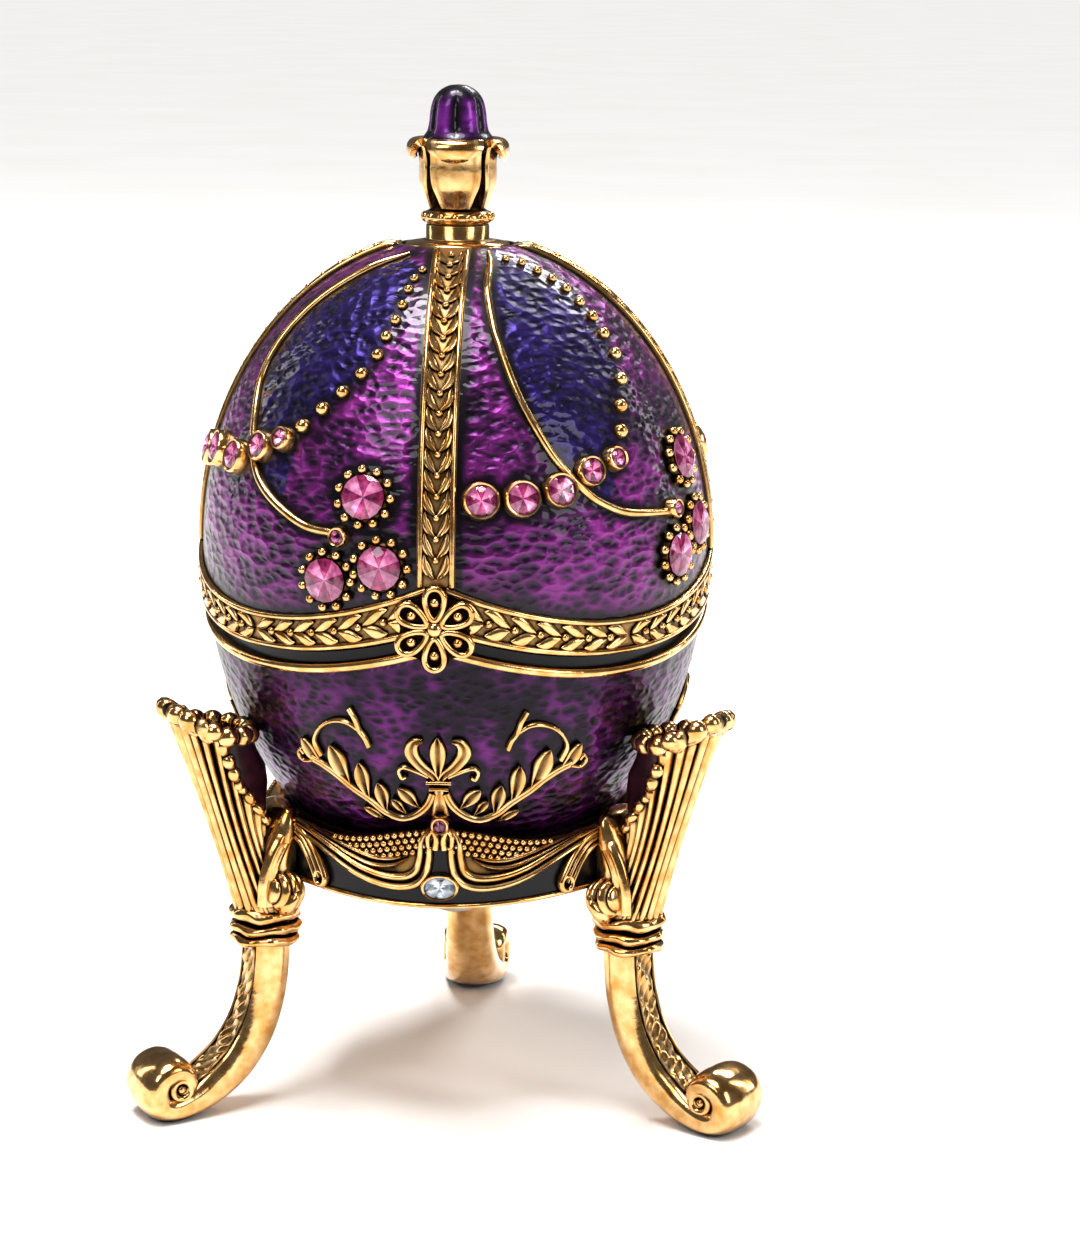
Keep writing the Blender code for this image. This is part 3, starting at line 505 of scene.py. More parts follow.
# Black enamel on the apron; on the bowl's neck and lip the same black is painted shade of the gap under the
# lid
BLACK = plain_enamel("black_enamel_and_neck_shade", "#0E0B0E", "#050405", 0.004)
# The shells' sides next to the egg: painted shade, tinted dark red as a painted reflection of the purple egg
HOLLOW = plain_enamel("flank_painted_shade", "#34121A", "#16060A", 0.002)
BUD = hammered_enamel("bud_enamel", "#8E2EA6", "#782490", "#521866", "#3A2A96", "#0E0A26", 0.1)
print("made", ENAMEL.name, BLACK.name, HOLLOW.name, BUD.name)

# %% [markdown]
# ## Cut stones
# The stones are leaded glass with a mirror foil behind them: the foil is what makes them blaze.
# Each is a real brilliant, with a clear crown of facets and a foiled point below, so the light goes in
# through glass, bounces off tinted foil and comes out in flashes. A flat pink disc would look painted.
# Every other facet of the foiled point takes a paler copy of the foil: a painted highlight.

# %% Crystal, foil and steel
def crystal(name, tint):
    """Lead glass: index 1.56, its colour only a tint."""
    material, tree = blank(name)
    place = node(tree, "ShaderNodeTexCoord")
    haze = node(tree, "ShaderNodeTexNoise", {"Vector": (place, "Object"), "Scale": 1 / 0.0008})
    tone = node(tree, "ShaderNodeValToRGB", {"Fac": (haze, "Fac")})
    stops(tone, (0.3, tint), (0.8, "#FFFFFF"))
    shader = node(tree, "ShaderNodeBsdfPrincipled", {
        "Base Color": (tone, "Color"), "Roughness": 0.0, "IOR": 1.56, "Transmission Weight": 1.0})
    node(tree, "ShaderNodeOutputMaterial", {"Surface": (shader, 0)})
    return material


def foil(name, tint, deep):
    """Mirror foil under a stone, tinted, a little creased."""
    material, tree = blank(name)
    place = node(tree, "ShaderNodeTexCoord")
    crease = node(tree, "ShaderNodeTexNoise", {"Vector": (place, "Object"), "Scale": 1 / 0.0006,
                                               "Detail": 1.0})
    tone = node(tree, "ShaderNodeValToRGB", {"Fac": (crease, "Fac")})
    stops(tone, (0.35, deep), (0.6, tint))
    shader = node(tree, "ShaderNodeBsdfPrincipled", {
        "Base Color": (tone, "Color"), "Metallic": 0.6, "Roughness": 0.3})
    node(tree, "ShaderNodeOutputMaterial", {"Surface": (shader, 0)})
    return material


PINK = crystal("pink_crystal", "#FFC4E4")
PINK_FOIL = foil("pink_foil", "#BC3E80", "#641244")
# Painted highlight: a paler copy of the pink foil, for every other facet below a stone
PINK_FOIL_HIGHLIGHT = foil("pink_foil_painted_highlight", "#FAC0E0", "#D078AE")
CLEAR = crystal("clear_crystal", "#F4F8FF")
CLEAR_FOIL = foil("silver_foil", "#C8D4E4", "#3A424E")
# Painted highlight: a paler copy of the silver foil, for every other facet below a stone
SILVER_FOIL_HIGHLIGHT = foil("silver_foil_painted_highlight", "#FFFFFF", "#DDE4F0")
STEEL = toned_gilding("polished_steel", "#E4E8EE", "#B9BFC8", "#2A2C30", 0.15)
print("made", PINK.name, CLEAR.name, STEEL.name)

# %% [markdown]
# ## The lid's lines
# The girdle's lower edge climbs at each of the four bands, in a curve that rises as the square of the
# nearness to a band. The girdle is also taller there. The same two lines shape the bowl's rim below.

# %% The lid's lines
BAND_WIDTH = 3.6
WALL = 1.5
INNER_RADIUS = EGG_RADIUS - WALL
INNER_TOP = EGG_TOP - 3.2
INNER_BOTTOM = EGG_BOTTOM - 3.4
SEAT_RADIUS = 5.9
HOLE_RADIUS = 1.6


def scallop(angle):
    """1 at each band, falling as a square to 0 midway between two."""
    away = np.abs((np.asarray(angle, float) + 45) % 90 - 45)
    return ((45 - away) / 45) ** 2


def lid_edge(angle):
    """Height of the lid's lower edge: 7.6 under the widest level, 3.2 higher at a band."""
    return EGG_LEVEL - 7.6 + 3.2 * scallop(angle)


def girdle_top(angle):
    """Height where the girdle ends and the enamel begins."""
    return lid_edge(angle) + 3.5 + 1.2 * scallop(angle)


def hollow_radius(height):
    """The egg's inner wall: radius sqrt(1 - (rise / half length)^2), half ellipses inside the outer ones."""
    rise = np.asarray(height, float) - EGG_LEVEL
    share = rise / np.where(rise > 0, INNER_TOP, INNER_BOTTOM)
    return INNER_RADIUS * np.sqrt(1 - np.clip(share, -1, 1) ** 2)


# Heights of the flat circle under the finial and of the screw's hole
CROWN = EGG_LEVEL + EGG_TOP * math.sqrt(1 - (SEAT_RADIUS / EGG_RADIUS) ** 2)
FOOT = EGG_LEVEL - EGG_BOTTOM * math.sqrt(1 - (HOLE_RADIUS / EGG_RADIUS) ** 2)
print("the crown's flat circle lies at", round(CROWN, 2), "mm")

# %% [markdown]
# ## The lid's ornament: where things are
# In two neighbouring quarters of the lid the wire and the bead line hang differently, and the pair
# repeats round the back. Each quarter has a wire that loops down from the crown, a line of beads that
# shrink upwards, a swag of five stones, and three large stones round a small one.
# Angles are degrees from the quarter's left band, heights are above the widest level.

# %% Places on the lid
# For the two kinds of quarter: the wire, the beads, the swag's stones, the group of three, the drop
QUARTER_LINES = (
    (((28.8, 29.0), (18.1, 26.6), (16.1, 23.1), (17.5, 20.5), (20.0, 17.2), (23.6, 14.0), (27.8, 11.0),
      (34.1, 8.1), (39.2, 6.7), (45.0, 5.8), (55.4, 5.3), (60.5, 5.2)),
     ((47.2, 13.2), (49.7, 15.4), (53.7, 17.7), (56.6, 19.9), (56.8, 21.7), (57.2, 23.2), (56.6, 24.5),
      (56.0, 25.7), (53.7, 26.6), (49.6, 27.3), (44.9, 28.0), (36.9, 28.4))),
    (((56.9, 28.8), (42.5, 27.5), (32.9, 25.1), (28.8, 22.5), (28.1, 19.7), (29.7, 17.2), (34.2, 14.4),
      (37.6, 12.0), (41.7, 9.2), (46.8, 7.3), (54.2, 5.6), (60.3, 4.6), (66.2, 4.3), (68.9, 4.0)),
     ((54.5, 13.6), (59.1, 15.3), (63.7, 16.9), (67.7, 18.6), (70.9, 20.3), (71.9, 21.9), (73.3, 23.3),
      (73.7, 24.6), (73.6, 25.9), (73.9, 26.8), (75.9, 27.5))))
QUARTER_STONES = (
    (((9.6, 7.7), (18.6, 7.8), (27.5, 8.4), (35.6, 9.9), (43.1, 10.8)),
     ((68.2, 9.8), (71.5, 3.3), (61.0, 1.0)), ((60.5, 5.4),)),
    (((11.5, 9.4), (21.4, 9.9), (33.0, 9.8), (42.5, 11.2), (49.6, 12.2)),
     ((73.9, 7.75), (65.8, -0.1), (78.1, 1.4)), ((68.6, 4.0),)))
SWAG_RADIUS = (1.8, 1.8, 1.7, 1.5, 1.2)
LARGE_RADIUS = 2.1
DROP_RADIUS = 1.0
WIRE_RADIUS = 0.38
WIRE_POINTS = 60
# The wire's first 45 points, with the beads, go round the indigo leaf
LEAF_POINTS = 45


def lid_lines():
    """Wire and bead line of every quarter, as (angle, height) arrays: ((wire, beads), ...)."""
    lines = []
    for quarter in range(QUARTERS):
        wire_points, beads = QUARTER_LINES[quarter % 2]
        shift = np.array([quarter * QUARTER_TURN, EGG_LEVEL])
        lines.append((smooth_line(wire_points, WIRE_POINTS) + shift, np.array(beads) + shift))
    return lines


def lid_stones():
    """Name, angle, height and setting radius of every stone on the lid."""
    found = []
    for quarter in range(QUARTERS):
        for kind, places in zip(("swag", "large", "drop"), QUARTER_STONES[quarter % 2]):
            for number, (turn, rise) in enumerate(places):
                name = f"{kind}_stone_{quarter + 1}" + (f"_{number + 1}" if kind != "drop" else "")
                radius = {"swag": SWAG_RADIUS[number], "large": LARGE_RADIUS, "drop": DROP_RADIUS}[kind]
                found.append((name, quarter * QUARTER_TURN + turn, EGG_LEVEL + rise, radius))
    return found


LINES = lid_lines()
STONES = lid_stones()
print(len(STONES), "stones and", sum(len(beads) for _, beads in LINES), "beads on the lid")

# %% [markdown]
# ## The enamelled dome
# The dome is one closed skin: up the outside, over the edge under the finial, and back down inside.
# Its outer points know how far they are from the nearest wire, bead or stone. Close to one the enamel
# rises and turns smooth and dark. The leaf between the wire and the bead line is found by asking, for
# each point, whether it lies inside the closed outline that the two make.

# %% Gaps and areas on the skin
def gap_to(points, places, reach):
    """How far each point lies outside the nearest of some round places, in millimetres."""
    near = np.full(points.shape[:-1], np.inf)
    for start in range(0, len(places), 24):
        some = slice(start, start + 24)
        gap = np.linalg.norm(points[..., None, :] - places[some], axis=-1) - reach[some]
        near = np.minimum(near, gap.min(axis=-1))
    return near


def inside(angle, height, outline):
    """True where a point lies in a closed outline: a ray crosses its edges an odd number of times."""
    odd = np.zeros(angle.shape, bool)
    for (a0, h0), (a1, h1) in zip(outline, np.roll(outline, -1, axis=0)):
        crossing = (h0 > height) != (h1 > height)
        where = a0 + (height - h0) / np.where(h1 == h0, 1e-9, h1 - h0) * (a1 - a0)
        odd ^= crossing & (angle < where)
    return odd


test_gap = gap_to(np.array([[2.0, 0.0, 0.0]]), np.zeros((1, 3)), np.array([0.5]))
print("2 mm from the middle of a bead of 0.5 mm the gap is", test_gap[0], "mm")

# %% The lid's shell
BAND_LIFT = 0.15
DOME_ROWS = 110
DOME_COLUMNS = 480


def band_gap(angle, radius):
    """Millimetres from the nearest band's edge, measured round the egg."""
    return np.radians(np.abs((angle + 45) % 90 - 45)) * radius - BAND_WIDTH / 2


def lid_shell():
    """From the finial's seat over the crown, down the enamel and the girdle, and back up inside."""
    angle = np.linspace(0, 360, DOME_COLUMNS, endpoint=False)
    high, low = climb_to(CROWN), climb_to(girdle_top(angle) - 0.5)
    height = height_at(high + np.linspace(0, 1, DOME_ROWS)[:, None] * (low - high))
    turn = np.broadcast_to(angle, height.shape)
    dome = on_egg(turn, height)
    around, level, radius = np.array([stone[1:] for stone in STONES]).T
    places = [on_egg(around, level)]
    reach = [radius + 0.35 + 0.9 * (radius >= LARGE_RADIUS)]
    for line, beads in LINES:
        places += [on_egg(*line.T), on_egg(*beads.T)]
        reach += [np.full(len(line), 0.7), np.linspace(0.85, 0.55, len(beads))]
    gap = gap_to(dome, np.concatenate(places), np.concatenate(reach))
    gap = np.minimum(gap, band_gap(turn, np.hypot(dome[..., 0], dome[..., 1])) - 0.5)
    gap = np.minimum(gap, climb_to(height) - climb_to(girdle_top(turn)) - 0.5)
    field = np.zeros(height.shape, bool)
    for quarter, (line, beads) in enumerate(LINES):
        near = (turn - quarter * 90 - 45 + 180) % 360 - 180 + quarter * 90 + 45
        field |= inside(near, height, np.concatenate([line[:LEAF_POINTS], beads]))
    edge = lid_edge(angle)
    rows = [polar(5.5, angle, CROWN - 1.0), polar(5.5, angle, CROWN), polar(5.8, angle, CROWN)]
    rows += list(dome)
    for level, lift in ((girdle_top(angle) - 0.5, 0.2), (edge + 0.3, 0.2), (edge, 0.0)):
        rows.append(on_egg(angle, level, lift))
    rows.append(polar(hollow_radius(edge) + 0.02, angle, edge))
    start = np.arcsin((edge - EGG_LEVEL) / INNER_BOTTOM)
    for share in np.linspace(0.02, 0.97, 24):
        slope = start + share * (np.pi / 2 - start)
        rise = np.where(slope > 0, INNER_TOP, INNER_BOTTOM) * np.sin(slope)
        rows.append(polar(INNER_RADIUS * np.cos(slope), angle, EGG_LEVEL + rise))
    rows = np.stack(rows)
    recess, spread = np.zeros(rows.shape[:2]), np.zeros(rows.shape[:2])
    above = climb_to(height) - climb_to(girdle_top(turn)) - 0.4
    enamelled = slice(3, 3 + DOME_ROWS)
    # Near-black beside wires, beads, stones and bands, where the enamel lies thick; and painted shade fading
    # over about 2 mm above the girdle
    recess[enamelled] = np.maximum(np.clip(1 - gap / 0.6, 0, 1), 0.85 * np.exp(-(above / 1.8).clip(0)))
    recess[3 + DOME_ROWS:6 + DOME_ROWS] = 0.5
    spread[enamelled] = field
    finish = np.ones(len(rows) + 1, int)
    finish[4:3 + DOME_ROWS] = 0
    return body(rows, recess=recess, finish=finish, field=spread)


piece("lid_shell", [lid_shell()], [ENAMEL, GILT], "lid")

# %% [markdown]
# ## Bands and girdle
# Four bands climb from girdle to crown. Each is a strip with a wire along both sides, and between the
# wires pairs of small leaves open upwards like an ear of wheat. The girdle carries a laurel: pairs of
# leaves that lie on their sides and point to the nearest band.

# %% Bands
CHEVRON = 1.95


def leaf_paths(roots, reach, rise, bend, rows=7):
    """Curved lines from each root: straight on by (reach, rise), bowed sideways by the bend."""
    share = np.linspace(0, 1, rows)[:, None]
    straight = np.array([reach, rise])
    bow = np.array([-rise, reach]) / math.hypot(rise, reach) * bend
    return np.asarray(roots)[:, None] + share * straight + np.sin(np.pi * share) * bow


def band(quarter):
    """One band: a floor, two edge wires, and pairs of leaves with a bead between."""
    foot = float(girdle_top(0.0))
    tall = float(climb_to(CROWN) - climb_to(foot))

    def place(across, along, lift):
        return patch(QUARTER_TURN * quarter, foot, across, along, lift)

    along = np.linspace(-0.5, tall - 0.1, 60)[:, None]
    across = np.linspace(-1, 1, 5)[None] * BAND_WIDTH / 2
    parts = [slab(place(across, along, BAND_LIFT + 0 * along * across), place(across, along, -0.3), 0.45)]
    for side in (-1, 1):
        edge = np.stack([np.full(80, side * (BAND_WIDTH / 2 - 0.33)), np.linspace(-0.5, tall, 80)], axis=1)
        parts.append(strips(edge, 0.33, place, 0.55 * np.clip((tall - edge[:, 1]) / 1.2, 0.15, 1)))
        roots = np.arange(0.2, tall - 2.2, CHEVRON)
        leaves = leaf_paths(np.stack([0 * roots + side * 0.1, roots], axis=1), side * 0.95, 2.3, -side * 0.3)
        parts.append(strips(leaves, taper(7, 0.55, 0.5), place, 0.55, sink=0.0, groove=0.35))
    level = roots + 1.75
    frames = egg_frame(QUARTER_TURN * quarter + 0 * level, height_at(climb_to(foot) + level))
    return parts + [body(set_down(ball(0.34, 5, 8), place(0 * level, level, 0.3), *frames))]


bands = [part for quarter in range(QUARTERS) for part in band(quarter)]
piece("bands", bands, [GILT], "lid")

# %% Girdle
LAUREL = 2.5


def girdle(quarter, side):
    """Half a quarter of the girdle, from band to middle: two wires, and leaves pointing at the band."""
    def place(across, along, lift):
        angle = QUARTER_TURN * quarter + side * np.degrees(across / EGG_RADIUS)
        low, high = lid_edge(angle), girdle_top(angle)
        return on_egg(angle, low + (high - low) * along, lift)

    reach = math.radians(45) * EGG_RADIUS
    parts = []
    for level in (0.09, 0.91):
        edge = np.stack([np.linspace(1.0, reach + 0.02, 60), np.full(60, level)], axis=1)
        u = np.linspace(0, 2 * np.pi, 10, endpoint=False)
        tube = place(edge[:, :1] + 0 * u, level + 0.085 * np.cos(u), 0.2 + 0.34 * np.sin(u))
        parts.append(body(tube))
    starts = np.arange(2.0, reach - 0.4, LAUREL)
    for up in (-1, 1):
        share = np.linspace(0, 1, 7)
        across = starts[:, None] + LAUREL * 0.95 * (1 - share)
        along = 0.5 + up * (0.04 + 0.23 * np.sin(share * np.pi / 2))
        along = np.broadcast_to(along, across.shape)
        u = np.linspace(-1, 1, 7)
        width = taper(7, 0.185, 0.45, 0.01)[:, None]
        along = along[..., None] + width * u
        top = place(across[..., None], along, 0.2 + 0.34 * np.sqrt(1 - u ** 2))
        low = place(across[..., None], along, -0.1)
        parts.append(slab(top, low, np.clip((np.abs(u) - 0.6) / 0.4, 0, 1) * 0.8))
    spots = place(starts + 0.4, 0.5, 0.3)
    frames = egg_frame(QUARTER_TURN * quarter + side * np.degrees((starts + 0.4) / EGG_RADIUS), spots[:, 2])
    parts.append(body(set_down(ball(0.42, 5, 8), spots, *frames)))
    return parts


girdles = [part for quarter in range(QUARTERS) for side in (-1, 1) for part in girdle(quarter, side)]
piece("girdle", girdles, [GILT], "lid")

# %% [markdown]
# ## The front flower
# Six loops of wire round a bead, soldered to a thin plate at the front of the girdle.

# %% The front flower
def flower():
    """Plate, six wire loops with a bead in each, and the bead in the middle, on a short post."""
    middle = float(lid_edge(0.0)) + 0.4
    centre = on_egg(0.0, middle)
    frame = wall_frame(0.0)

    def spot(x, y, lift):
        return centre + sum(np.multiply.outer(size, way) for size, way in zip((x, y, lift), frame))

    turn = np.linspace(0, 2 * np.pi, 72, endpoint=False)
    rim = 3.9 * (1 + 0.11 * np.cos(6 * (turn - np.pi / 2)))
    plate = [spot(rim * share * np.cos(turn), rim * share * np.sin(turn), 0 * turn + lift)
             for share, lift in ((0.9, 1.05), (0.93, 1.3), (0.55, 1.35), (0.2, 1.45))]
    parts = [body(np.stack(plate), recess=0.8)]
    around = np.linspace(0, 2 * np.pi, 28, endpoint=False)
    for lobe in range(6):
        tilt = np.pi / 2 + lobe * np.pi / 3
        far = 2.35 + 1.5 * np.cos(around)
        wide = 1.15 * np.sin(around) * (0.75 + 0.25 * np.cos(around))
        path = spot(far * np.cos(tilt) - wide * np.sin(tilt), far * np.sin(tilt) + wide * np.cos(tilt),
                    1.6 + 0 * far)
        parts.append(body(wire(path, frame[2], 0.3, sides=8, loop=True), loop=True))
        heart = spot(2.5 * np.cos(tilt), 2.5 * np.sin(tilt), 1.35)
        parts.append(body(set_down(ball(0.55, 5, 8), heart[None], *frame)))
    parts.append(body(set_down(ball(0.85, 8, 14), spot(0.0, 0.0, 1.25)[None], *frame)))
    post = turned([(1.5, -0.7), (1.5, 1.2)], 16)
    parts.append(body(set_down(post, spot(0.0, 2.0, 0.0)[None], *frame)))
    return parts


piece("front_flower", flower(), [GILT], "lid")

# %% [markdown]
# ## Wires, beads and settings on the dome
# The wires are soldered on before enamelling, and so are the beads, in a row that grows finer upwards.
# Small stones sit in a plain collar of thin metal, pressed over their edge. The large stones have a
# ring of grains instead: balls of gold, each touching the next.

# %% Wires, beads and settings
def dome_wires():
    """The hanging wires, which grow out of the crown, and the bead lines, whose beads shrink upwards."""
    grown = WIRE_RADIUS * np.minimum(1, 0.35 + np.arange(WIRE_POINTS) / 6)
    parts = []
    for line, beads in LINES:
        parts.append(body(wire(on_egg(*line.T, 0.12), egg_frame(*line.T)[2], grown)))
        sizes = np.linspace(0.72, 0.42, len(beads))
        frames = [way * sizes[:, None] for way in egg_frame(*beads.T)]
        parts.append(body(set_down(ball(1.0, 7, 12), on_egg(*beads.T, 0.15), *frames)))
    return parts


def collar_profile(radius):
    """A thin wall of metal round a stone: up outside, over the rim, and down to the stone's seat."""
    return [(radius + 0.06, -0.5), (radius + 0.06, 0.15), (radius - 0.02, 0.55), (radius - 0.06, 0.85),
            (radius - 0.16, 0.98), (radius - 0.3, 0.94), (radius - 0.36, 0.75), (radius - 0.4, 0.3)]


def setting(radius, spot, across, up, out):
    """A collar, or for a large stone a low ring with eleven grains round it."""
    if radius < LARGE_RADIUS:
        return [body(set_down(turned(collar_profile(radius), 32), spot[None], across, up, out))]
    seat = turned([(2.45, -0.5), (2.4, 0.25), (2.15, 0.45), (2.0, 0.2)], 32)
    turn = np.arange(11) * 2 * np.pi / 11
    grains = np.stack([2.62 * np.cos(turn), 2.62 * np.sin(turn), 0 * turn + 0.3], axis=1)
    spots = spot + grains @ np.stack([across, up, out])
    return [body(set_down(seat, spot[None], across, up, out), recess=0.7),
            body(set_down(ball(0.46, 6, 10), spots, across, up, out))]


settings = [part for _, angle, height, radius in STONES
            for part in setting(radius, on_egg(angle, height), *egg_frame(angle, height))]
piece("dome_wires", dome_wires(), [GILT], "lid")
piece("settings", settings, [GILT], "lid")

# %% [markdown]
# ## Cutting a brilliant
# A round brilliant has a flat table, eight kite facets, star and girdle facets between them, and a
# point below. Only the corners need working out. Radii and heights are shares of the stone's radius.

# %% Cutting a brilliant
def brilliant(radius, tall, deep):
    """Corners and faces: table T, crown corners M, girdle G and H, pavilion corners N and the point."""
    def ring(count, share, height, shift=0.0):
        turn = (np.arange(count) + shift) * 2 * np.pi / count
        return np.stack([share * np.cos(turn), share * np.sin(turn), np.full(count, height)], axis=1) * radius

    corners = np.concatenate([ring(8, 0.5, tall), ring(8, 0.78, 0.62 * tall, 0.5), ring(16, 1.0, 0.05),
                              ring(16, 1.0, 0.0), ring(8, 0.3, -0.7 * deep, 0.5), ring(1, 0.0, -deep)])
    table, crown, girdle_line, lower, under, point = 0, 8, 16, 32, 48, 56
    crown_faces, foil_faces = [tuple(range(8))], []
    for k in range(8):
        after, before = (k + 1) % 8, (k - 1) % 8
        g = [(2 * k + step) % 16 for step in range(3)]
        crown_faces += [(table + k, crown + k, table + after),
                        (table + k, crown + before, girdle_line + g[0], crown + k),
                        (crown + k, girdle_line + g[0], girdle_line + g[1]),
                        (crown + k, girdle_line + g[1], girdle_line + g[2])]
        for a, b in ((g[0], g[1]), (g[1], g[2])):
            crown_faces.append((girdle_line + a, lower + a, lower + b, girdle_line + b))
            foil_faces.append((lower + a, lower + b, under + k))
        foil_faces.append((lower + g[0], under + before, point, under + k))
    return corners, crown_faces, foil_faces


def cut_stone(name, radius, tall, deep, spot, frame_of, finishes):
    """One stone with its girdle's middle at the spot: glass above, a foil and its painted highlight turn
    about below.
    """
    corners, crown_faces, foil_faces = brilliant(radius, tall / radius, deep / radius)
    mesh = bpy.data.meshes.new(name)
    mesh.from_pydata((spot + corners @ np.stack(frame_of) + AXIS) * MM, [], crown_faces + foil_faces)
    # The foil and its paler copy, a painted highlight, turn about from facet to facet
    dress(mesh, [0] * len(crown_faces) + [1, 2] * (len(foil_faces) // 2), finishes, name)


PINK_STONE = (PINK, PINK_FOIL, PINK_FOIL_HIGHLIGHT)
CLEAR_STONE = (CLEAR, CLEAR_FOIL, SILVER_FOIL_HIGHLIGHT)
for name, angle, height, radius in STONES:
    seat = 0.72 if radius < LARGE_RADIUS else 0.62
    size = radius - 0.33 if radius < LARGE_RADIUS else radius
    cut_stone(name, size, 0.42 * size ** 0.6, 0.4, on_egg(angle, height, seat), egg_frame(angle, height),
              PINK_STONE)
print("cut", len(STONES), "stones for the lid")

# %% [markdown]
# ## The bowl
# The bowl repeats the lid's scalloped line: a gold wire, a dark neck above it, and a lip that goes up
# inside the lid. Below the wire it is enamelled as the dome is, and on the enamel lies a gilt relief:
# over the middle of each bay a lily, and on each side of it a leafy branch and a forked scroll.
# The relief is drawn first, as lines of angle and height on one side of a bay. The other side is their
# mirror image, and the two other bays are turned copies.

# %% The relief's lines
RELIEF_BASE = 36.0
FLEUR_TOP = 40.6


def flat_on_egg(points):
    """(angle, height) places as millimetres across and along from the middle at the relief's base."""
    angle, height = np.asarray(points, float).T
    radius = EGG_RADIUS * np.cos(egg_slope(height))
    return np.stack([np.radians(angle) * radius, climb_to(height) - climb_to(RELIEF_BASE)], axis=1)


# Angle from the bay's middle and height above the table, on one side of each bay
CRESCENT = ((0.5, 36.0), (1.6, 36.6), (4.1, 37.4), (6.1, 38.4), (6.4, 39.2), (5.4, 39.95), (3.5, 40.2))
FLEUR_HOOK = ((2.6, 36.4), (6.0, 37.0), (8.8, 37.3), (10.1, 36.8), (9.5, 36.1), (8.3, 36.3))
BRANCH_LINE = ((1.7, 34.5), (3.6, 33.1), (7.2, 32.0), (11.7, 31.5), (16.5, 32.1), (20.1, 33.3), (24.7, 34.5),
               (28.3, 35.7), (32.0, 36.6), (35.3, 37.1))
# Each leaf: its middle line and its half width in millimetres
BRANCH_LEAVES = (
    (((5.6, 32.9), (8.3, 33.8), (10.9, 35.0)), 0.8), (((9.6, 32.1), (11.7, 32.9), (13.2, 33.7)), 0.55),
    (((15.6, 32.2), (16.1, 33.6), (16.4, 35.4)), 0.82), (((20.0, 33.2), (20.9, 35.2), (20.6, 37.4)), 0.9),
    (((24.6, 34.5), (26.8, 36.6), (27.9, 38.9)), 1.1), (((31.6, 36.4), (34.8, 37.6), (36.4, 39.2)), 0.88),
    (((16.8, 31.3), (19.6, 31.8), (22.8, 32.5)), 0.55))
END_CURL = ((35.0, 36.9), (38.0, 36.7), (39.4, 37.3), (38.2, 37.9), (37.2, 37.5))
C_SCROLL = ((19.0, 40.9), (21.5, 41.5), (24.5, 41.6), (28.0, 41.1), (31.0, 40.1), (32.6, 38.9), (31.6, 37.6))
C_FORK = ((20.9, 43.0), (19.7, 42.0), (19.0, 40.9), (17.8, 40.1), (17.1, 39.2))
print("the lily is", round(float(climb_to(FLEUR_TOP) - climb_to(RELIEF_BASE)), 2), "mm tall above its tie")


# %% The bowl's relief
def bowl_relief(middle):
    """A lily over the middle of a bay, with a leafy branch and a forked scroll on each side of it."""
    def place(across, along, lift):
        return patch(middle, RELIEF_BASE, across, along, lift)

    petal = smooth_line(flat_on_egg([(0, 35.8), (0, 38.2), (0, FLEUR_TOP)]), 24)
    stem = smooth_line(flat_on_egg([(0, 32.0), (0, 33.4), (0, 35.0)]), 12)
    parts = [strips(petal, taper(24, 0.88, 0.62), place, 0.75, groove=0.7, columns=13, spread=0.45,
                    shade=0.9),
             strips(stem, np.linspace(1.0, 0.5, 12), place, 0.55, groove=0.5, columns=11, spread=0.4,
                    shade=1.0)]
    for height, reach in ((35.85, 3.2), (35.15, 2.5)):
        tie = flat_on_egg([(-reach, height), (0, height + 0.05), (reach, height)])
        parts.append(strips(tie, 0.24, place, 0.8))
    thick = np.interp(np.linspace(0, 1, 30), (0, 0.3, 0.6, 0.85, 1), (0.4, 0.6, 0.78, 0.55, 0.2))
    for side in (-1, 1):
        turn = np.array([side, 1])
        path = smooth_line(flat_on_egg(np.array(CRESCENT) * turn), 30)
        parts.append(strips(path, thick, place, 0.72, groove=0.6, columns=13, spread=0.4, shade=0.9))
        for line, wide, count in ((FLEUR_HOOK, 0.27, 24), (BRANCH_LINE, 0.46, 70), (END_CURL, 0.24, 24),
                                  (C_SCROLL, 0.29, 50), (C_FORK, 0.29, 24)):
            path = smooth_line(flat_on_egg(np.array(line) * turn), count)
            parts.append(strips(path, wide, place, 0.6, groove=0.3 * (wide > 0.4)))
        for line, wide in BRANCH_LEAVES:
            path = smooth_line(flat_on_egg(np.array(line) * turn), 16)
            parts.append(strips(path, taper(16, wide, 0.62), place, 0.8, groove=0.85, columns=15, spread=0.5,
                                shade=0.75))
    return parts


reliefs = [part for bay in range(LEGS) for part in bowl_relief(bay * BAY_TURN)]
print(len(reliefs), "raised parts on the bowl")

# %% The bowl's shell
NECK_HEIGHT = 1.3
BOWL_COLUMNS = 480
BOWL_ROWS = 90


def relief_line(middle, side, line):
    """Points on the egg along one line of the relief."""
    angle, height = smooth_line(np.array(line) * [side, 1], 14).T
    return on_egg(middle + angle, height)


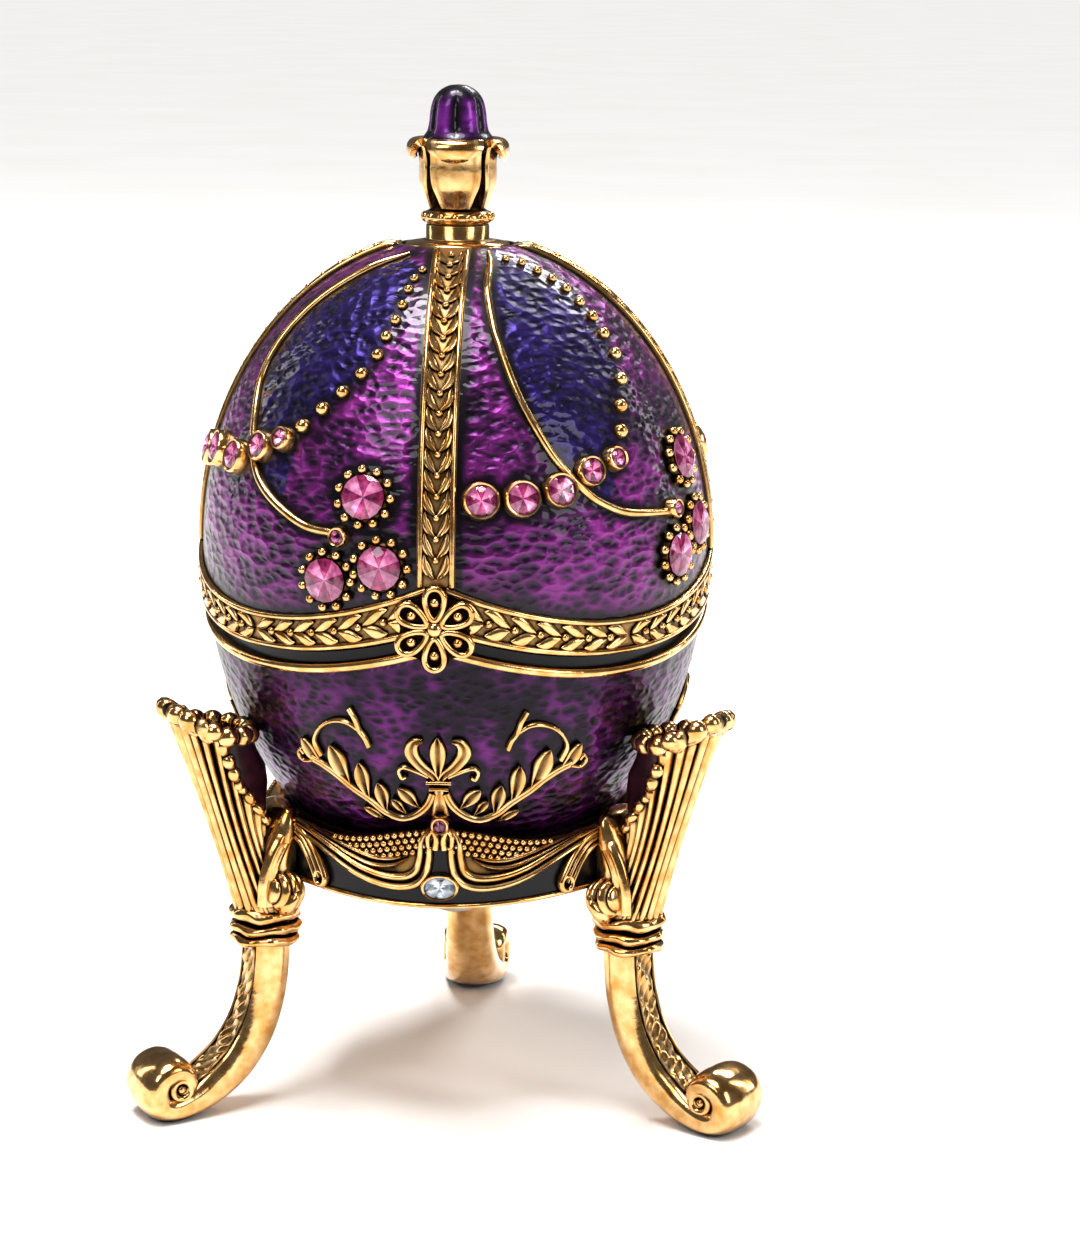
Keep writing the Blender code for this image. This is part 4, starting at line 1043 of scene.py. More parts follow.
def bowl_shell():
    """From the screw hole up the enamel to the wire, the dark neck and the lip, and down inside."""
    angle = np.linspace(0, 360, BOWL_COLUMNS, endpoint=False)
    edge = lid_edge(angle)
    wire_top = edge - NECK_HEIGHT
    wire_foot = wire_top - 0.95
    low = climb_to(FOOT)
    height = height_at(low + np.linspace(0, 1, BOWL_ROWS)[:, None] * (climb_to(wire_foot) - low))
    grid = [polar(HOLE_RADIUS, angle, EGG_LEVEL - EGG_BOTTOM + 2.1)] + list(on_egg(angle, height))
    # Painted shade: the enamel darkens over about 2.5 mm under the rim wire
    below = climb_to(wire_foot) - climb_to(height)
    shade = np.maximum(np.clip(1 - below / 0.7, 0, 1), 0.8 * np.exp(-below / 2.5))
    # Beside the relief the enamel lies thick and dark
    drawn = [BRANCH_LINE, C_SCROLL, C_FORK, FLEUR_HOOK, CRESCENT] + [leaf for leaf, _ in BRANCH_LEAVES]
    lines = np.concatenate([relief_line(bay * BAY_TURN, side, line)
                            for bay in range(LEGS) for side in (-1, 1) for line in drawn])
    gap = gap_to(on_egg(np.broadcast_to(angle, height.shape), height), lines, np.full(len(lines), 0.5))
    marks = [0 * angle] + list(np.maximum(shade, np.clip(1 - gap / 1.2, 0, 1)))
    finish = [1, 1] + [0] * (BOWL_ROWS - 1)
    for spin in np.radians(np.linspace(0, 160, 9)):
        grid.append(on_egg(angle, wire_foot + 0.95 * (1 - math.cos(spin)) / 2, 0.45 * math.sin(spin)))
        finish.append(1)
    # The neck and the lip under the lid are black: painted shade of the gap
    radius = EGG_RADIUS * np.cos(egg_slope(edge - 0.3)) - 0.8
    lip = hollow_radius(edge) - 0.3
    for ring, level in ((radius, wire_top + 0.05), (radius, edge - 0.3), (lip, edge - 0.3), (lip, edge + 1.3),
                        (lip - 0.9, edge + 1.3), (lip - 0.9, edge - 1.6)):
        grid.append(polar(ring, angle, level))
        finish.append(2)
    start = np.arcsin((edge - 2.9 - EGG_LEVEL) / INNER_BOTTOM)
    for share in np.linspace(0, 0.97, 20):
        slope = start + share * (-np.pi / 2 - start)
        grid.append(polar(INNER_RADIUS * np.cos(slope), angle, EGG_LEVEL + INNER_BOTTOM * np.sin(slope)))
        finish.append(1)
    marks += [0 * angle] * (len(grid) - len(marks))
    return body(np.stack(grid), recess=np.stack(marks), finish=finish + [1])


piece("bowl_shell", [bowl_shell()], [DEEP, GILT, BLACK], "bowl")
piece("bowl_relief", reliefs, [GILT], "bowl")

# %% [markdown]
# ## The finial
# A turned stem with a ring, four broad petals that curl out at their tips, and between them a grooved
# bud in purple enamel, painted dark as shade round a painted highlight on each lobe.

# %% The finial
FINIAL_BASE = CROWN - 0.7


def finial_stem():
    """The turned stem: flange, drum, ring, neck, and the core that the petals stand round, painted dark as
    shade.
    """
    angle = np.linspace(0, 360, 96, endpoint=False)
    profile = ((5.2, 0.0), (5.2, 0.55), (4.95, 0.85), (4.1, 1.0), (3.25, 1.1), (3.1, 1.25), (3.1, 2.45),
               (3.0, 2.6), (3.2, 2.75), (3.42, 3.05), (3.42, 3.5), (3.2, 3.8), (2.85, 3.95), (2.6, 4.15),
               (2.5, 4.6), (2.6, 5.4), (2.9, 6.6), (3.1, 8.0), (3.3, 10.2))
    grid = np.stack([polar(radius, angle, FINIAL_BASE + level) for radius, level in profile])
    recess = np.zeros(grid.shape[:2])
    recess[[4, 7, 12, 13]] = 0.7
    # Painted shade: the core between the petals takes the full dark wash
    recess[14:] = 1.0
    return body(grid, recess=recess)


print("the finial starts at", round(FINIAL_BASE, 2), "mm")

# %% The finial's petals
# A petal's middle line, which rolls over outwards at its point: rows of (out, up, half width)
PETAL_LINE = ((2.75, 4.2, 2.1), (3.15, 5.2, 2.35), (3.6, 6.4, 2.7), (3.7, 7.6, 2.85), (3.68, 8.7, 2.85),
              (3.8, 9.6, 2.8), (3.95, 10.1, 2.8), (4.12, 10.25, 2.65), (4.27, 10.1, 2.4), (4.28, 9.8, 2.0),
              (4.18, 9.45, 1.3), (3.95, 9.1, 0.25))


def petal(heading):
    """A broad leaf round the bud, 0.75 thick, with a raised rim and midrib, whose point hangs over."""
    line = smooth_line(PETAL_LINE, 56)
    line, wide = line[:, :2], line[:, 2:]
    along = unit(np.gradient(line, axis=0))
    back = line - 0.75 * np.stack([along[:, 1], -along[:, 0]], axis=1)
    u = np.linspace(-1, 1, 17)
    raised = 0.2 * np.exp(-((np.abs(u) - 0.9) / 0.1) ** 2) + 0.12 * np.exp(-(u / 0.35) ** 2)
    turn = heading + np.degrees(wide * u / 4.0)
    return slab(polar(line[:, :1] + raised, turn, FINIAL_BASE + line[:, 1:] + 0 * u),
                polar(back[:, :1] + 0 * u, turn, FINIAL_BASE + back[:, 1:] + 0 * u),
                0.6 * np.exp(-((np.abs(u) - 0.7) / 0.08) ** 2))


petals = [petal(90.0 * number) for number in range(4)]
print(len(petals), "petals")

# %% The finial's bud and beads
BUD_LOBES = 6


def bud():
    """A bell with rounded lobes: on each a painted highlight, a thin oval where the purple shows, and painted
    shade between.
    """
    angle = np.linspace(0, 360, 144, endpoint=False)
    lobes = np.abs(np.sin(np.radians(BUD_LOBES / 2 * angle)))
    line = smooth_line(((3.75, 9.6), (3.68, 10.3), (3.42, 11.0), (3.02, 11.6), (2.84, 12.4), (2.76, 13.2),
                        (2.6, 14.1), (2.28, 14.9), (1.7, 15.55), (0.9, 15.97), (0.05, 16.08)), 60)
    level = line[:, 1:]
    fade = np.clip((15.8 - level) / 2.0, 0, 1) * np.clip((level - 11.0) / 1.0, 0, 1)
    grid = polar(line[:, :1] * (1 - 0.13 * fade * (1 - lobes ** 0.7)), angle, FINIAL_BASE + level)
    around = (angle + 180 / BUD_LOBES) % (360 / BUD_LOBES) - 180 / BUD_LOBES
    around = np.abs(np.abs(around) - 180 / BUD_LOBES)
    # Painted highlight: an oval on each lobe keeps the purple; elsewhere the near-black is painted shade
    oval = np.exp(-(around / 17) ** 4 - ((level - 13.1) / 1.6) ** 4)
    return body(grid, recess=1 - 0.9 * oval)


ring_spins = np.arange(15) * 24.0
ring_spots = polar(3.15, ring_spins, FINIAL_BASE + 3.3)
ring_beads = body(set_down(ball(0.52, 7, 12), ring_spots, *wall_frame(ring_spins)))
piece("finial_stem", [finial_stem(), ring_beads] + petals, [GILT], "finial")
piece("finial_bud", [bud()], [BUD], "finial")

# %% [markdown]
# ## The stand's apron
# A ring of black enamel with a gallery of gold grains along its top, a thin edge below, and raised
# scrolls. Inside it a cup follows the egg's underside.

# %% The apron
APRON_RADIUS = 18.643
RAIL_HEIGHT = 29.6
APRON_DROP = 7.1
APRON_WALL = 1.2
CUP_GAP = 0.3
CUP_WALL = 1.3
CUP_LEVEL = 26.0


def leg_frame(angle):
    """Outward, sideways and up at a leg."""
    out = polar(1.0, angle, 0.0)
    return out, np.array([-out[1], out[0], 0.0]), UP


def bay_wave(angle):
    """cos 3a: 1 in the middle of a bay, -1 at a leg."""
    return np.cos(np.radians(LEGS * np.asarray(angle, float)))


def rail_top(angle):
    """29.6 + 0.25 cos 3a + 0.55 cos 6a: crests over the bays and over the legs."""
    return RAIL_HEIGHT + 0.25 * bay_wave(angle) + 0.55 * np.cos(np.radians(6 * angle))


def apron_edge(angle):
    """Height of the apron's lower edge, a little higher at the legs."""
    return RAIL_HEIGHT - APRON_DROP + 0.75 * (1 - bay_wave(angle)) / 2


def apron_shell():
    """The wall's face, its top, the cup inside and the wall's back, as one ring-shaped body."""
    angle = np.linspace(0, 360, 360, endpoint=False)
    top, low = rail_top(angle), apron_edge(angle)
    grid = [polar(APRON_RADIUS, angle, low + share * (top - low)) for share in np.linspace(0, 1, 12)]
    for share in np.linspace(0, 1, 16):
        grid.append(on_egg(angle, top + share * (FOOT - top), CUP_GAP))
    for share in np.linspace(1, 0, 12):
        grid.append(on_egg(angle, CUP_LEVEL + share * (FOOT - CUP_LEVEL) + 0 * angle, CUP_GAP + CUP_WALL))
    for level in (CUP_LEVEL - 1.0 + 0 * angle, low):
        grid.append(polar(APRON_RADIUS - APRON_WALL, angle, level))
    finish = [0] * 11 + [1] * (len(grid) - 11)
    return body(np.stack(grid), loop=True, finish=finish)


print("the cup's wall ends", round(FOOT, 2), "mm above the table")

# %% [markdown]
# ## The apron's ornament
# Over the black enamel run an S scroll from the middle of the bay to the knee, a thinner scroll above
# it, and an arch of three ridges that leaves the wall and runs down the side of the knee. The ground
# between the scroll and the top edge is gold, strewn with rows of grains. All of it lies on the wall by
# one function of millimetres across and up, so the lines can be drawn flat.

# %% The apron's lines
def on_apron(middle):
    """Places on the apron's face: millimetres across from a bay's middle, and heights above the table."""
    def place(across, height, lift):
        return polar(APRON_RADIUS + lift, middle + np.degrees(across / APRON_RADIUS), height)
    return place


# Angle from the bay's middle, height above the table
S_LINE = ((1.2, 30.0), (2.6, 30.1), (4.2, 29.2), (4.6, 27.6), (6.0, 26.0), (10, 25.2), (17, 25.2), (25, 25.9),
          (33, 27.1), (41, 28.2), (49, 28.9), (56, 29.0))
UPPER_LINE = ((9.5, 27.7), (14, 27.1), (20, 27.0), (27, 27.6), (35, 28.5), (43, 29.3))
ARCH_LINE = ((38.8, 24.4), (40.2, 25.3), (42.6, 26.6), (46.0, 27.7), (50.0, 28.3), (55.0, 28.3))
HORN_LINE = ((1.4, 28.6), (1.0, 29.6), (2.0, 30.4), (3.3, 29.9), (3.2, 28.9), (2.4, 28.7))
# The arch's ground and its three ridges: shift from the line, half width and rise
ARCH_RIDGES = ((0.0, 1.05, 0.55), (-0.62, 0.34, 0.85), (0.0, 0.3, 0.85), (0.62, 0.34, 0.85))
# Heights of the two stones of a bay, and how much wider and lower than round the clear one is
CREST_LEVEL = 31.0
OVAL_LEVEL = 24.75
OVAL = (1.2, 0.85)


def apron_line(points, side, count):
    """(angle, height) places as millimetres across and heights."""
    angle, height = smooth_line(points, count).T
    return np.stack([side * np.radians(angle) * APRON_RADIUS, height], axis=1)


print("the wall is", round(2 * math.pi * APRON_RADIUS / LEGS, 1), "mm long from leg to leg")


# %% The grain gallery and the arch
def gallery(middle, side):
    """Gold ground from the top edge down to the S scroll, strewn with up to four rows of grains."""
    angle = np.linspace(4.5, 60, 90)
    lower = np.interp(angle, *np.array(S_LINE[3:]).T)
    share = np.linspace(0, 1, 7)[:, None]
    top = rail_top(angle) - 0.02
    turn = middle + side * angle
    front = polar(APRON_RADIUS + 0.25, turn, lower + share * (top - lower))
    back = polar(APRON_RADIUS - 0.2, turn, lower + share * (top - lower))
    parts = [slab(np.swapaxes(front, 0, 1), np.swapaxes(back, 0, 1), 0.55)]
    spins = np.arange(2.5, 60, 2.2)
    for row, drop in enumerate((0.25, 0.9, 1.5, 2.1)):
        angle = spins + 1.1 * (row % 2)
        scroll = np.interp(angle, *np.array(UPPER_LINE).T)
        angle = angle[(angle < 60) & (rail_top(angle) - drop > scroll + 0.3)]
        turn = middle + side * angle
        spots = polar(APRON_RADIUS + 0.32, turn, rail_top(angle) - drop)
        parts.append(body(set_down(ball(0.36, 5, 8), spots, *wall_frame(turn))))
    return parts


def arch_on_knee(middle, side):
    """The arch's far half: three ridges that leave the apron and run down the side of the knee."""
    angle = 60.0 * side + middle
    out, across, up = leg_frame(angle)
    across = -side * across
    line = smooth_line(((16.9, -0.4, 27.4), (18.3, 1.2, 28.2), (19.9, 2.8, 27.5), (21.2, 3.15, 25.6),
                        (21.9, 3.2, 23.2), (22.0, 3.2, 21.0)), 24)
    path = line @ np.stack([out, across, up])
    turn = np.linspace(0, 2 * np.pi, 24, endpoint=False)
    outline = np.stack([0.95 * np.cos(turn), (0.6 + 0.1 * np.cos(6 * turn)) * np.sin(turn)], axis=1)
    return body(sweep(path, np.broadcast_to(across, path.shape), outline))


print("a bay has", 2 * len(gallery(0.0, 1)), "parts of gallery")


# %% The ornament of a bay
def bay_ornament(middle):
    """Scrolls, arches, grain gallery, the thin lower edge and the two collars of one bay."""
    place = on_apron(middle)
    parts = []
    for side in (-1, 1):
        parts += gallery(middle, side)
        wide = np.interp(np.linspace(0, 1, 70), (0, 0.15, 0.4, 0.7, 1), (0.55, 0.75, 1.05, 0.85, 0.7))
        for line, half, rise, groove, columns in (
                (S_LINE, wide, 1.0, 0.55, 13), (UPPER_LINE, taper(40, 0.75, 0.4, 0.2), 0.9, 0.6, 13),
                (HORN_LINE, np.linspace(0.5, 0.3, 30), 1.15, 0.0, 9)):
            drawn = apron_line(line, side, len(half))
            parts.append(strips(drawn, half, place, rise, groove=groove, columns=columns))
        path = apron_line(ARCH_LINE, side, 40)
        along = unit(np.gradient(path, axis=0))
        beside = np.stack([along[:, 1], -along[:, 0]], axis=1)
        for shift, half, rise in ARCH_RIDGES:
            parts.append(strips(path + shift * beside, half, place, rise))
        parts.append(arch_on_knee(middle, side))
        turn = np.linspace(0, 2 * np.pi, 24)
        ring = 0.62 * np.stack([np.cos(turn), 1.15 * np.sin(turn)], axis=1)
        parts.append(strips([side * math.radians(38.9) * APRON_RADIUS, 24.3] + ring, 0.36, place, 0.85))
    across = np.linspace(-60, 60, 121)
    low = np.stack([np.radians(across) * APRON_RADIUS, apron_edge(across) + 0.3], axis=1)
    parts.append(strips(low, 0.3, place, 0.4))
    across, up, out = wall_frame(middle)
    for height, radius, lift, wide, tall in ((CREST_LEVEL, 0.95, 0.4, 1.0, 1.0),
                                             (OVAL_LEVEL, 1.6, -0.05, *OVAL)):
        spot = polar(APRON_RADIUS + lift, middle, height)
        shape = turned(collar_profile(radius), 32)
        parts.append(body(set_down(shape, spot[None], wide * across, tall * up, out)))
    return parts


ornaments = [part for bay in range(LEGS) for part in bay_ornament(bay * BAY_TURN)]
print(len(ornaments), "raised parts on the apron")

# %% The stand's stones, and the apron as pieces
for bay in range(LEGS):
    middle = bay * BAY_TURN
    across, up, out = wall_frame(middle)
    cut_stone(f"crest_stone_{bay + 1}", 0.62, 0.35, 0.5, polar(APRON_RADIUS + 1.12, middle, CREST_LEVEL),
              (across, up, out), PINK_STONE)
    cut_stone(f"apron_stone_{bay + 1}", 1.27, 0.6, 0.45, polar(APRON_RADIUS + 0.67, middle, OVAL_LEVEL),
              (OVAL[0] * across, OVAL[1] * up, out), CLEAR_STONE)
print("cut", 2 * LEGS, "stones for the stand")
piece("apron_shell", [apron_shell()], [BLACK, GILT], "stand")
piece("apron_ornament", ornaments, [GILT], "stand")

# %% [markdown]
# ## The legs
# Each leg is one casting: a scroll foot rolled outwards, a cabriole shaft, a ringed collar, and above
# it a fluted shell that opens like a trumpet. The shaft and the foot are one outline swept down the
# leg's curve and round into the volute, so the channel on its face runs on without a seam. The shell is
# a wall of two parameters, level and spin: the ribs, the waist, the lean outward and the swelling dark
# side are all terms of one formula, so the lip and the lobed edges can be laid on the same wall.

# %% The legs
COLLAR_RADIUS = 3.05
COLLAR_OUT = APRON_RADIUS + 0.72 * COLLAR_RADIUS
COLLAR_TOP = 0.69 * RAIL_HEIGHT
COLLAR_LOW = 0.56 * RAIL_HEIGHT
FLUTES = 20
SHELL_ROWS = 40
SHELL_DEEP = 4.2
SHELL_WIDE = 4.6
SHELL_TALL = 18.6
print("the collars stand", round(COLLAR_OUT, 2), "mm from the axis")

# %% The shell's wall
def shell_wall(angle, level, spin, inset=0.0):
    """A point of the shell's wall: level 0 to 1 upwards, spin round it from its outer side.

    Half widths grow as level^2.6, the middle line leans outward, and ribs |cos(FLUTES spin / 2)|
    stand out. The side next to the egg, beyond the dark edge, has no ribs.
    """
    out, across, up = leg_frame(angle)
    level, spin = np.broadcast_arrays(np.asarray(level, float), spin)
    waist = 0.74 * COLLAR_RADIUS
    spread, pinch = level ** 2.6, (1 - level) ** 3
    inward = np.clip(-np.cos(spin), 0, 1)
    rib = (2 * np.abs(np.cos(FLUTES * spin / 2)) - 1) * (1 + 0.35 * np.sin(5 * spin + 3 * level))
    rib = rib * (dark_from(level) + 4 > from_outside(spin))
    flute = 1 + (0.07 + 0.04 * level) * (rib - 0.35)
    root = waist + (COLLAR_RADIUS - waist) * pinch - inset
    deep = (root + (SHELL_DEEP - waist) * spread) * flute * (1 - 0.05 * inward)
    wide = (root + (SHELL_WIDE - waist) * spread) * flute
    centre = COLLAR_OUT + 5.5 * (1.35 * level - 0.35 * level ** 2)
    lean = spread * (1.9 * np.clip(np.cos(spin), 0, 1) ** 1.5 - 0.35 * inward)
    rise = COLLAR_TOP - 0.4 + level * SHELL_TALL + lean + 0.35 * rib * level ** 6
    # The dark side swells until it all but touches the egg
    swell = np.interp(level, (0.35, 0.45, 0.55, 0.7, 0.8, 0.9, 1.0), (0, 0.3, 1.0, 1.7, 1.6, 0.6, 0.05))
    reach = centre + deep * np.cos(spin) - swell * inward ** 1.5
    return (np.multiply.outer(reach, out) + np.multiply.outer(wide * np.sin(spin), across)
            + np.multiply.outer(rise, up))


def from_outside(spin):
    """Degrees round the shell from its outer side, 0 to 180."""
    return np.degrees(np.arccos(np.clip(np.cos(spin), -1, 1)))


def dark_from(level):
    """Where the shell's dark side begins: 76 degrees round at the rim, and further round below."""
    return np.interp(level, (0.4, 0.5, 0.6, 0.75, 1.0), (176, 142, 117, 93, 76))


print("the dark side begins", int(dark_from(1.0)), "degrees round at the rim")


# %% The shell
def shell(angle):
    """Ribbed outside, dark side and hollow, a rolled lip cut into lobes, and a lobed edge down each side."""
    spins = np.linspace(0, 2 * np.pi, 240, endpoint=False)
    levels = np.linspace(0, 1, SHELL_ROWS)[:, None]
    grid = [shell_wall(angle, levels, spins)]
    for level, inset in ((1.0, 0.3), (1.0, 0.7), (0.97, 0.9), (0.9, 0.9), (0.8, 0.9), (0.7, 0.9),
                         (0.62, 0.9)):
        grid.append(shell_wall(angle, level, spins, inset)[None])
    grid = np.concatenate(grid)
    rib = np.abs(np.cos(FLUTES * spins / 2))
    recess = np.zeros(grid.shape[:2])
    broken = 0.75 + 0.45 * np.sin(9 * levels + 5 * np.sin(3 * spins))
    recess[:SHELL_ROWS] = np.clip((1.0 - 2.3 * rib) * broken, 0, 1)
    finish = np.ones((len(grid) + 1, len(spins)), int)
    # Beyond the dark edge the faces take the flank's painted shade
    bounds = dark_from(np.linspace(-0.02, 1.0, SHELL_ROWS + 1)[:, None])
    finish[:SHELL_ROWS + 1] = from_outside(spins) > bounds
    lobes = np.abs(np.sin(7 * spins))
    thick = 0.95 * (0.5 + 0.5 * lobes ** 0.6)
    lip = wire(shell_wall(angle, 1.0, spins, 0.15), UP, thick, 1.1, sides=10, loop=True)
    parts = [body(grid, recess=recess, finish=finish),
             body(lip, loop=True, recess=np.clip(1.1 - 2.2 * lobes, 0, 1)[:, None] + np.zeros(10))]
    along = np.linspace(0.97, 0.46, 90)
    bumps = np.abs(np.sin(np.pi * np.linspace(0, 7, 90)))
    thick = (0.35 + 0.45 * bumps ** 0.6) * np.linspace(1.0, 0.6, 90)
    middle = 0.5 * (shell_wall(angle, along, 0.0) + shell_wall(angle, along, np.pi))
    for side in (-1, 1):
        path = shell_wall(angle, along, side * np.radians(np.minimum(dark_from(along), 172)))
        edge = wire(path, unit(path - middle), thick, sides=10)
        parts.append(body(edge, recess=np.clip(1.0 - 2.2 * bumps, 0, 1)[:, None] + np.zeros(10)))
    return parts


print("a shell has", len(shell(0.0)), "parts")

# %% [markdown]
# ## The foot, the collar and the knee
# Where the shaft meets the shell, three cast rings hide the joint. They are uneven, as chasing by hand
# leaves them. Beside the knee a leaf rolls up on each side, and each volute ends in a ring round a bead.

# %% Shaft and foot
# The leg's middle line from collar to eye, each row (out, up, half depth, half width)
LEG_LINE = (
    (20.84, 17.4, 2.25, 2.4), (20.9, 15.0, 2.3, 2.4), (21.35, 11.6, 2.3, 2.45), (22.5, 8.1, 2.3, 2.55),
    (24.5, 5.1, 2.25, 2.75), (27.0, 3.05, 2.1, 3.0), (29.4, 1.85, 1.8, 3.3), (31.54, 1.35, 1.6, 3.55),
    (32.95, 1.8, 1.55, 3.7), (33.45, 3.2, 1.5, 3.75), (32.9, 4.55, 1.45, 3.7), (31.54, 5.15, 1.4, 3.6),
    (30.35, 4.7, 1.2, 3.4), (29.9, 3.7, 0.95, 3.2), (30.3, 2.95, 0.8, 3.0), (31.1, 2.9, 0.65, 2.8))
LEG_ROWS = 120


def scroll_leg(angle):
    """Shaft and foot in one sweep: down the cabriole curve, along the table, and round into a spiral.

    Each outline has a smooth rounded back, raised front edges, and a sunk, pebbled channel between.
    """
    out, across, up = leg_frame(angle)
    line = smooth_line(LEG_LINE, LEG_ROWS)
    path = np.multiply.outer(line[:, 0], out) + np.multiply.outer(line[:, 1], up)
    along = unit(np.gradient(path, axis=0))
    normal = unit(np.cross(along, across))
    spins = np.linspace(0, 2 * np.pi, 80, endpoint=False)
    side = np.sign(np.cos(spins)) * np.abs(np.cos(spins)) ** 0.75
    front = np.sign(np.sin(spins)) * np.abs(np.sin(spins)) ** 0.75
    sunk = np.exp(-(side / 0.58) ** 8) * (front > 0)
    line_of_edge = np.exp(-((np.abs(side) - 0.64) / 0.08) ** 2) * (front > 0)
    steps = np.arange(LEG_ROWS)[:, None]
    pebbles = np.sin(steps * 1.1 + 4 * side) * np.cos(side * 9 + steps * 0.45)
    depth = front * (1 - (0.26 - 0.12 * pebbles) * sunk - 0.3 * line_of_edge)
    grid = (path[:, None] + (line[:, 3:, None] * side[:, None]) * across
            + (line[:, 2:3] * depth)[..., None] * normal[:, None])
    grid[..., 2] = np.maximum(grid[..., 2], 0.0)
    return [body(grid, recess=np.clip((0.3 - 0.35 * pebbles) * sunk + 1.2 * line_of_edge, 0, 1))]


print("the foot's middle line reaches", max(row[0] for row in LEG_LINE), "mm from the axis")


# %% Collar, ears and eyes
def collar_rings():
    """Three uneven rings: radius of the profile, waved a little round, as chased by hand."""
    rings = smooth_line(((2.9, 0.0), (3.3, 0.15), (3.42, 0.5), (3.2, 0.85), (2.75, 1.0), (3.3, 1.25),
                         (3.58, 1.65), (3.35, 2.05), (2.75, 2.2), (2.75, 2.4), (3.4, 2.6), (3.6, 3.05),
                         (3.35, 3.6), (2.7, 3.8)), 48)
    turn = np.linspace(0, 2 * np.pi, 48, endpoint=False)
    wave = 0.1 * np.sin(7 * turn + 1.7 * rings[:, 1:]) + 0.06 * np.sin(11 * turn - 2.1 * rings[:, 1:])
    radius = rings[:, :1] + wave
    height = rings[:, 1:] + 0.14 * np.sin(4 * turn + rings[:, 1:])
    hollow = np.clip((3.15 - rings[:, :1]) / 0.25, 0, 1) + 0 * turn
    return np.stack([radius * np.cos(turn), radius * np.sin(turn), height], axis=-1), hollow


def ear(angle, side):
    """A leaf rolled up beside the knee: a ribbed roll, and its tip turned out below it."""
    out, across, up = leg_frame(angle)
    across = side * across
    spot = out * (COLLAR_OUT - 0.7) + across * 3.3 + up * (COLLAR_TOP + 1.9)
    axle = unit(out + 0.25 * across + 0.2 * up)
    over = unit(up - axle * (up @ axle))
    aside = np.cross(over, axle)
    along = np.linspace(-1.9, 1.9, 40)
    ribs = np.abs(np.cos(along * np.pi / 0.95))
    radius = (1.2 + 0.55 * ribs ** 0.6) * np.sqrt(1.02 - (along / 1.95) ** 2) + 0.35
    roll = set_down(turned(np.stack([radius, along], axis=1), 24), spot[None], aside, over, axle)
    line = smooth_line(((2.4, -0.4, -1.6), (2.9, 1.2, -1.7), (2.7, 2.5, -1.2), (2.2, 3.1, -0.2),
                        (1.7, 2.9, 0.5)), 30)
    path = spot + (line[:, :1] - 2.4) * out + (line[:, 1:2] - 1.0) * across + line[:, 2:] * up
    tip = wire(path, out, taper(30, 0.8, 0.5, 0.15), flat=0.7, sides=12)
    return [body(roll, recess=np.clip(1.1 - 2.2 * ribs, 0, 1)[None, :, None] + np.zeros((1, 40, 24))),
            body(tip)]


def foot_eye(angle, side):
    """The volute's end on one side of the foot: a ring of wire round a bead."""
    out, across, up = leg_frame(angle)
    centre = 30.95 * out + 3.3 * up + side * 2.9 * across
    turn = np.linspace(0, 2 * np.pi, 32, endpoint=False)[:, None]
    path = centre + 0.95 * (np.cos(turn) * out + np.sin(turn) * up)
    return [body(wire(path, side * across, 0.36, sides=8, loop=True), loop=True),
            body(set_down(ball(0.5, 6, 10), centre[None] - 0.2 * side * across, out, up, side * across))]


print("a collar has", collar_rings()[0].shape[0], "outlines")

# %% The whole leg
# The knee behind the shell, each row (level, shift outward, half depth, half width), as shares
KNEE_LINE = ((-0.1, 0.0, 1.0, 1.0), (0.35, -0.15, 0.95, 1.1), (0.75, -0.36, 0.7, 1.15),
             (1.0, -0.5, 0.42, 1.0), (1.07, -0.55, 0.25, 0.7), (1.1, -0.6, 0.05, 0.2))


def leg(angle):
    """One leg: shell, shaft and foot, collar, knee, and on each side an ear and a volute's eye."""
    out, across, up = leg_frame(angle)
    rings, hollow = collar_rings()
    collar = set_down(rings, (COLLAR_OUT * out + COLLAR_LOW * up)[None], across, out, up)
    rise = float(rail_top(60.0)) - COLLAR_TOP
    spins = np.linspace(0, 2 * np.pi, 32, endpoint=False)
    level, move, deep, wide = smooth_line(KNEE_LINE, 16).T[..., None]
    knee = (np.multiply.outer(COLLAR_OUT + COLLAR_RADIUS * (move + deep * np.cos(spins)), out)
            + np.multiply.outer(COLLAR_RADIUS * wide * np.sin(spins), across)
            + np.multiply.outer(COLLAR_TOP + level * rise + 0 * spins, up))
    parts = shell(angle) + scroll_leg(angle) + [body(collar, recess=hollow), body(knee)]
    for side in (-1, 1):
        parts += ear(angle, side) + foot_eye(angle, side)
    return parts


legs = [part for number in range(LEGS) for part in leg(60.0 + number * BAY_TURN)]
piece("legs", legs, [GILT, HOLLOW], "stand")

# %% [markdown]
# ## The fixing screw
# One plain steel screw with a domed head holds the bowl in its cup from below. It is a turned profile.

# %% The fixing screw
HEAD_LEVEL = EGG_LEVEL - EGG_BOTTOM - 1.9
SCREW_PROFILE = ((0.25, -1.5), (1.2, -1.42), (2.1, -1.1), (2.6, -0.6), (2.7, -0.2), (2.65, 0.0),
                 (1.3, 0.05), (1.3, 3.6))
piece("fixing_screw_dome", [body(turned(SCREW_PROFILE, 40) + HEAD_LEVEL * UP)], [STEEL],
      "fixing_screw")

# %% [markdown]
# ## Light, floor and camera
# Polished gold shows only what stands round it, so the lights are placed for their reflections: one
# overhead for the crown and the tops of the scrolls, a key from the left, a larger one on the right, two
# narrow ones at the egg's edges and one behind. Between them it stays dark, and that dark is what makes
# gold look like metal. A broad daylight from above keeps the pale board even.

# %% Floor
FLOOR_RADIUS = 8.0


